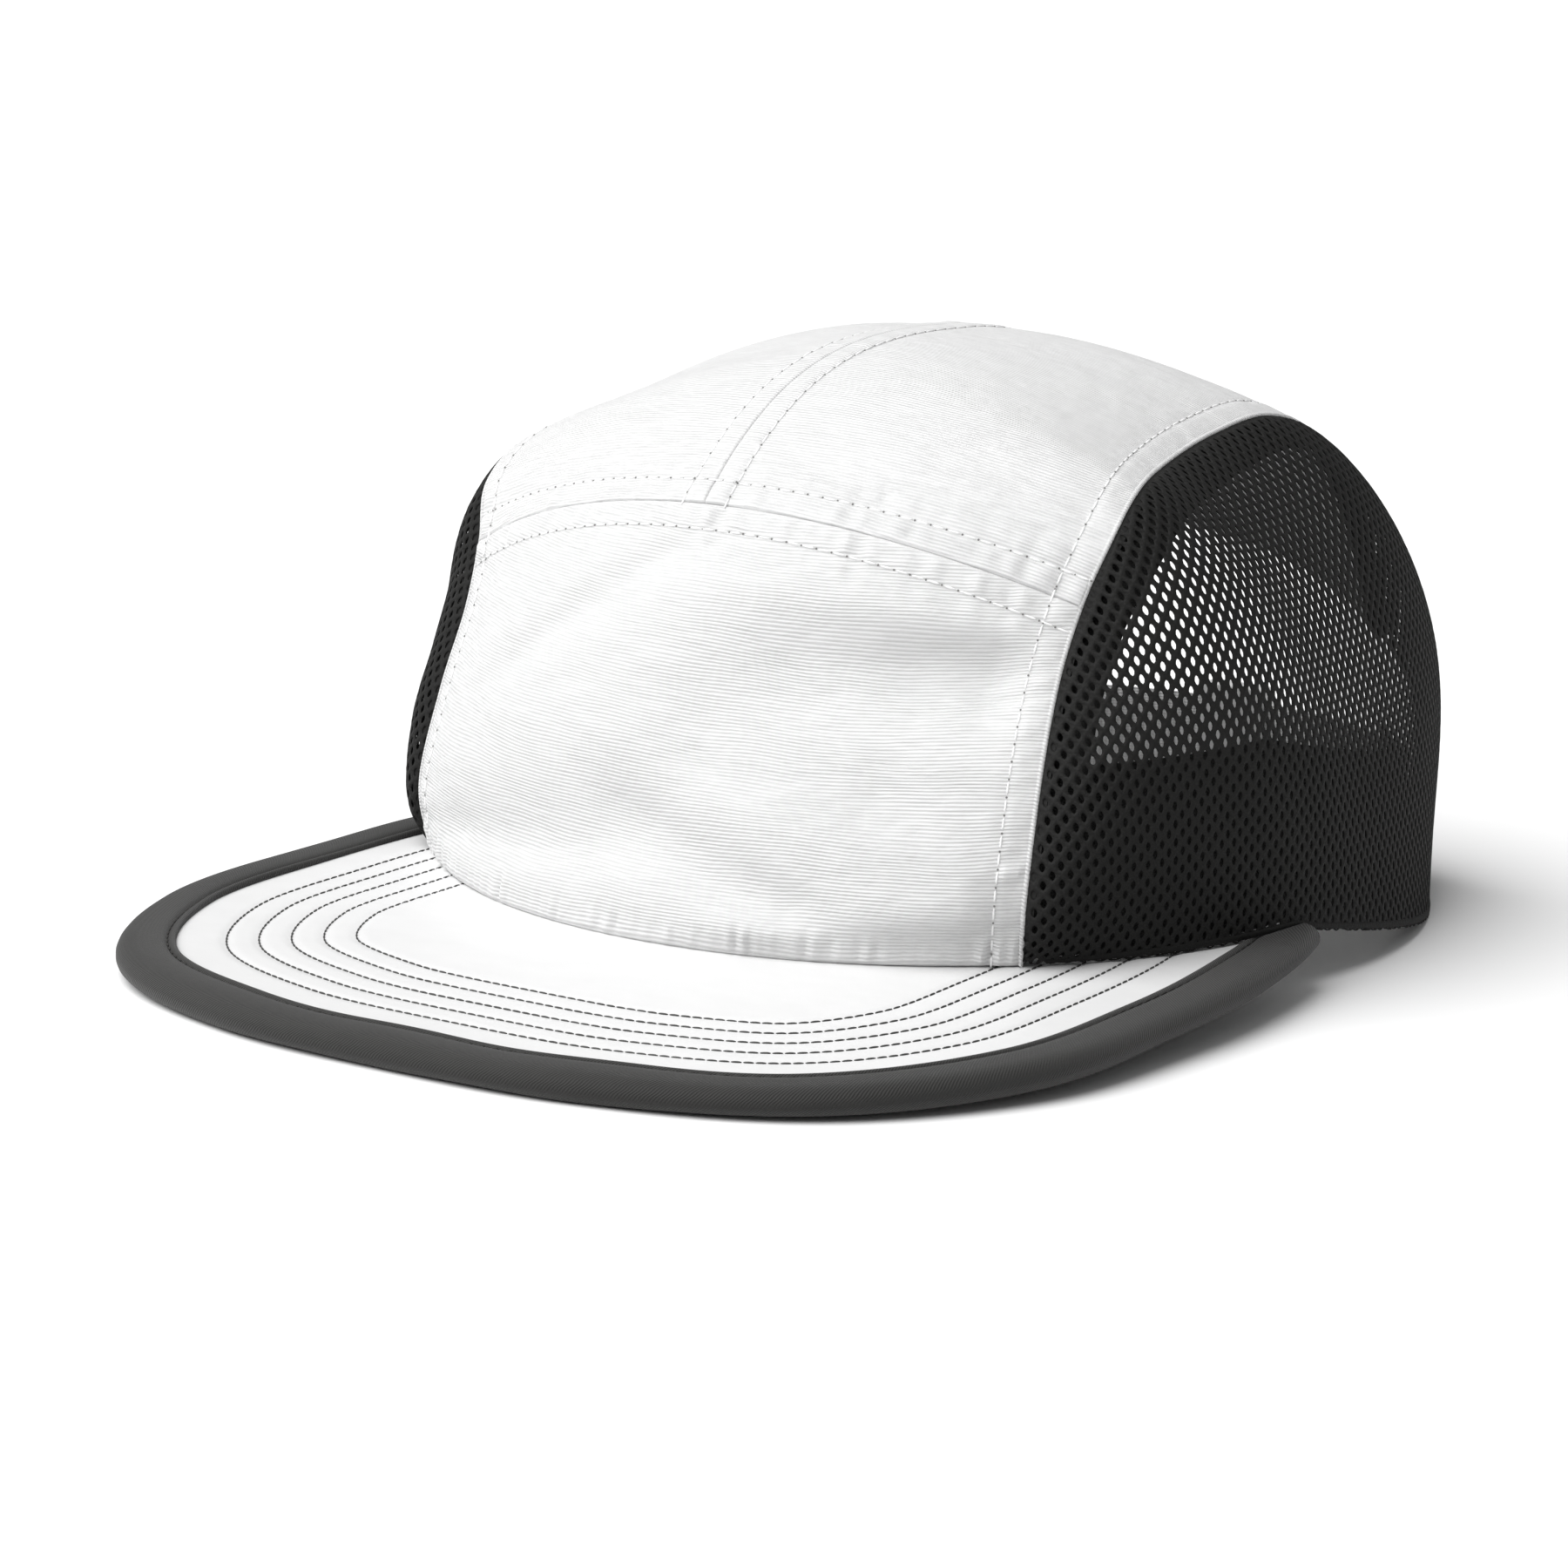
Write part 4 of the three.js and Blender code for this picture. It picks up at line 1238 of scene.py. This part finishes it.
# Back strap
# Pale ribbed webbing that closes the cap across the opening at the back. Its ends are sewn
# inside the mesh panels, and a plain slide rides on it. No dark strap shows through the net.

STRAP_WIDTH = 20 * MM
STRAP_CLOTH = 1.4 * MM
STRAP_INSET = 0.85 * MM
STRAP_LIFT = 4 * MM
STRAP_END = 144
SLIDE_LENGTH = 14 * MM
SLIDE_RIM = 2.4 * MM
SLIDE_ROOM = 0.6 * MM


def pale_webbing():
    material, shader, across, up = new_cloth("pale webbing", 0.7, 0.1)
    rib = ridges(across, 1.1 * MM)
    fine = ridges(up, 0.55 * MM)
    # The webbing's rib grooves are painted darker than the rib crests: painted shade in the grooves.
    colour_between(shader, rib, (0.62, 0.62, 0.62), (0.8, 0.8, 0.8))
    bump(shader, maths("MULTIPLY_ADD", fine, 0.5, rib), 0.16 * MM, 0.8)
    return material


strap_angles = np.linspace(STRAP_END, 360 - STRAP_END, 121)
strap_up = np.linspace(0, 1, 13)[:, None]
strap_points = hem_point(strap_angles, STRAP_INSET) + 0 * strap_up[..., None]
strap_points[..., 2] = STRAP_LIFT + STRAP_WIDTH * strap_up
strap_in = np.broadcast_to(turned(hem_inward(strap_angles)), strap_points.shape)
selvedge = 0.3 * MM * (np.abs(2 * strap_up - 1) ** 8)[..., None]
strap_points = lean(strap_points)
strap = cloth_sheet(
    "back_strap_webbing",
    strap_points + strap_in * selvedge,
    strap_in * (STRAP_CLOTH - 2 * selvedge),
    1,
    run_along(strap_points, 1),
    STRAP_WIDTH * strap_up + 0 * strap_angles,
)
strap.data.materials.append(pale_webbing())
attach(strap, "root")
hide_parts("back_strap")


def pale_plastic():
    material, shader = new_paint("pale plastic", 0.42)
    grain = specks(shader, 3000.0, 2.0)
    colour_between(shader, grain, (0.62, 0.62, 0.62), (0.7, 0.7, 0.7))
    bump(shader, grain, 0.03 * MM, 0.6)
    return material


slide_low, slide_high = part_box("strap_slide")
slide_middle = np.array((slide_low + slide_high) / 2)
slide_across = STRAP_CLOTH / 2 + SLIDE_ROOM
slide_tall = STRAP_WIDTH / 2 + SLIDE_ROOM
SQUARE = [(-1, -1), (1, -1), (1, 1), (-1, 1)]
slide_points = []
# Four square loops close into the slide's ring: two round the strap, and two round those.
for out, high, along in (
    (0, 0, 1), (0, 0, -1), (SLIDE_RIM / 2, SLIDE_RIM, -1), (SLIDE_RIM / 2, SLIDE_RIM, 1)
):
    for x, z in SQUARE:
        away = x * (slide_across + out)
        slide_points.append((along * SLIDE_LENGTH / 2, away, z * (slide_tall + high)))
slide_faces = grid_faces(np.pad(np.arange(16).reshape(4, 4), (0, 1), "wrap")).tolist()
slide_placed = turned(np.array(slide_points)) + slide_middle
slide = stood("strap_slide_ring", new_mesh("strap_slide_ring", slide_placed, [], slide_faces))
bevel = slide.modifiers.new("rounded", "BEVEL")
bevel.width = 0.45 * MM
bevel.segments = 3
slide = plain_mesh(slide, "strap_slide_ring")
smoothed(slide.data, 50)
slide.data.materials.append(pale_plastic())
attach(slide, "root")
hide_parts("strap_slide")

# Floor, light and camera
# A plain pale floor, one broad soft light from high on the camera's left with a weak even
# fill, and the camera at the photograph's angle and distance.

CAMERA_TARGET = Vector((-9.4, -9.0, 26.7)) * MM
CAMERA_TURN = math.radians(35.605)
CAMERA_RISE = math.radians(11.433)
CAMERA_ROLL = math.radians(1.376)
CAMERA_DISTANCE = 1.0
CAMERA_LENS = 131.1
FLOOR_HALF = 6.0
SKY_STRENGTH = 0.3
LAMP_STRENGTH = 4.1
LAMP_SPREAD = 70
LAMP_FROM = (-0.3, -0.5, 0.81)

floor_corners = [(x * FLOOR_HALF, y * FLOOR_HALF, 0) for x, y in SQUARE]
floor = stood("floor", new_mesh("floor", floor_corners, [], [(0, 1, 2, 3)]))
floor_paint, floor_shader = new_paint("pale floor", 0.9)
floor_shader.inputs["Base Color"].default_value = (0.9, 0.9, 0.9, 1)
floor_shader.inputs["Specular IOR Level"].default_value = 0.1
floor.data.materials.append(floor_paint)
floor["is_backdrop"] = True

sky = bpy.data.worlds.new("studio")
bpy.context.scene.world = sky
sky.use_nodes = True
sky.node_tree.nodes["Background"].inputs["Color"].default_value = (1, 1, 1, 1)
sky.node_tree.nodes["Background"].inputs["Strength"].default_value = SKY_STRENGTH

lamp = bpy.data.lights.new("softbox", "SUN")
lamp.energy = LAMP_STRENGTH
lamp.angle = math.radians(LAMP_SPREAD)
softbox = stood("softbox", lamp)
softbox.rotation_euler = Vector(LAMP_FROM).to_track_quat("Z", "Y").to_euler()

camera_data = bpy.data.cameras.new("camera")
camera_data.lens = CAMERA_LENS
camera_data.sensor_width = 36
camera_data.clip_start = 0.05
camera = stood("camera", camera_data)
camera_back = Vector((
    math.sin(CAMERA_TURN) * math.cos(CAMERA_RISE),
    -math.cos(CAMERA_TURN) * math.cos(CAMERA_RISE),
    math.sin(CAMERA_RISE),
))
level = (-camera_back).to_track_quat("-Z", "Y").to_matrix().to_4x4()
camera.matrix_world = (
    Matrix.Translation(CAMERA_TARGET + camera_back * CAMERA_DISTANCE)
    @ level
    @ Matrix.Rotation(CAMERA_ROLL, 4, "Z")
)
bpy.context.scene.camera = camera
bpy.context.scene.view_settings.view_transform = "Standard"
bpy.context.scene.view_settings.look = "None"

low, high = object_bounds()
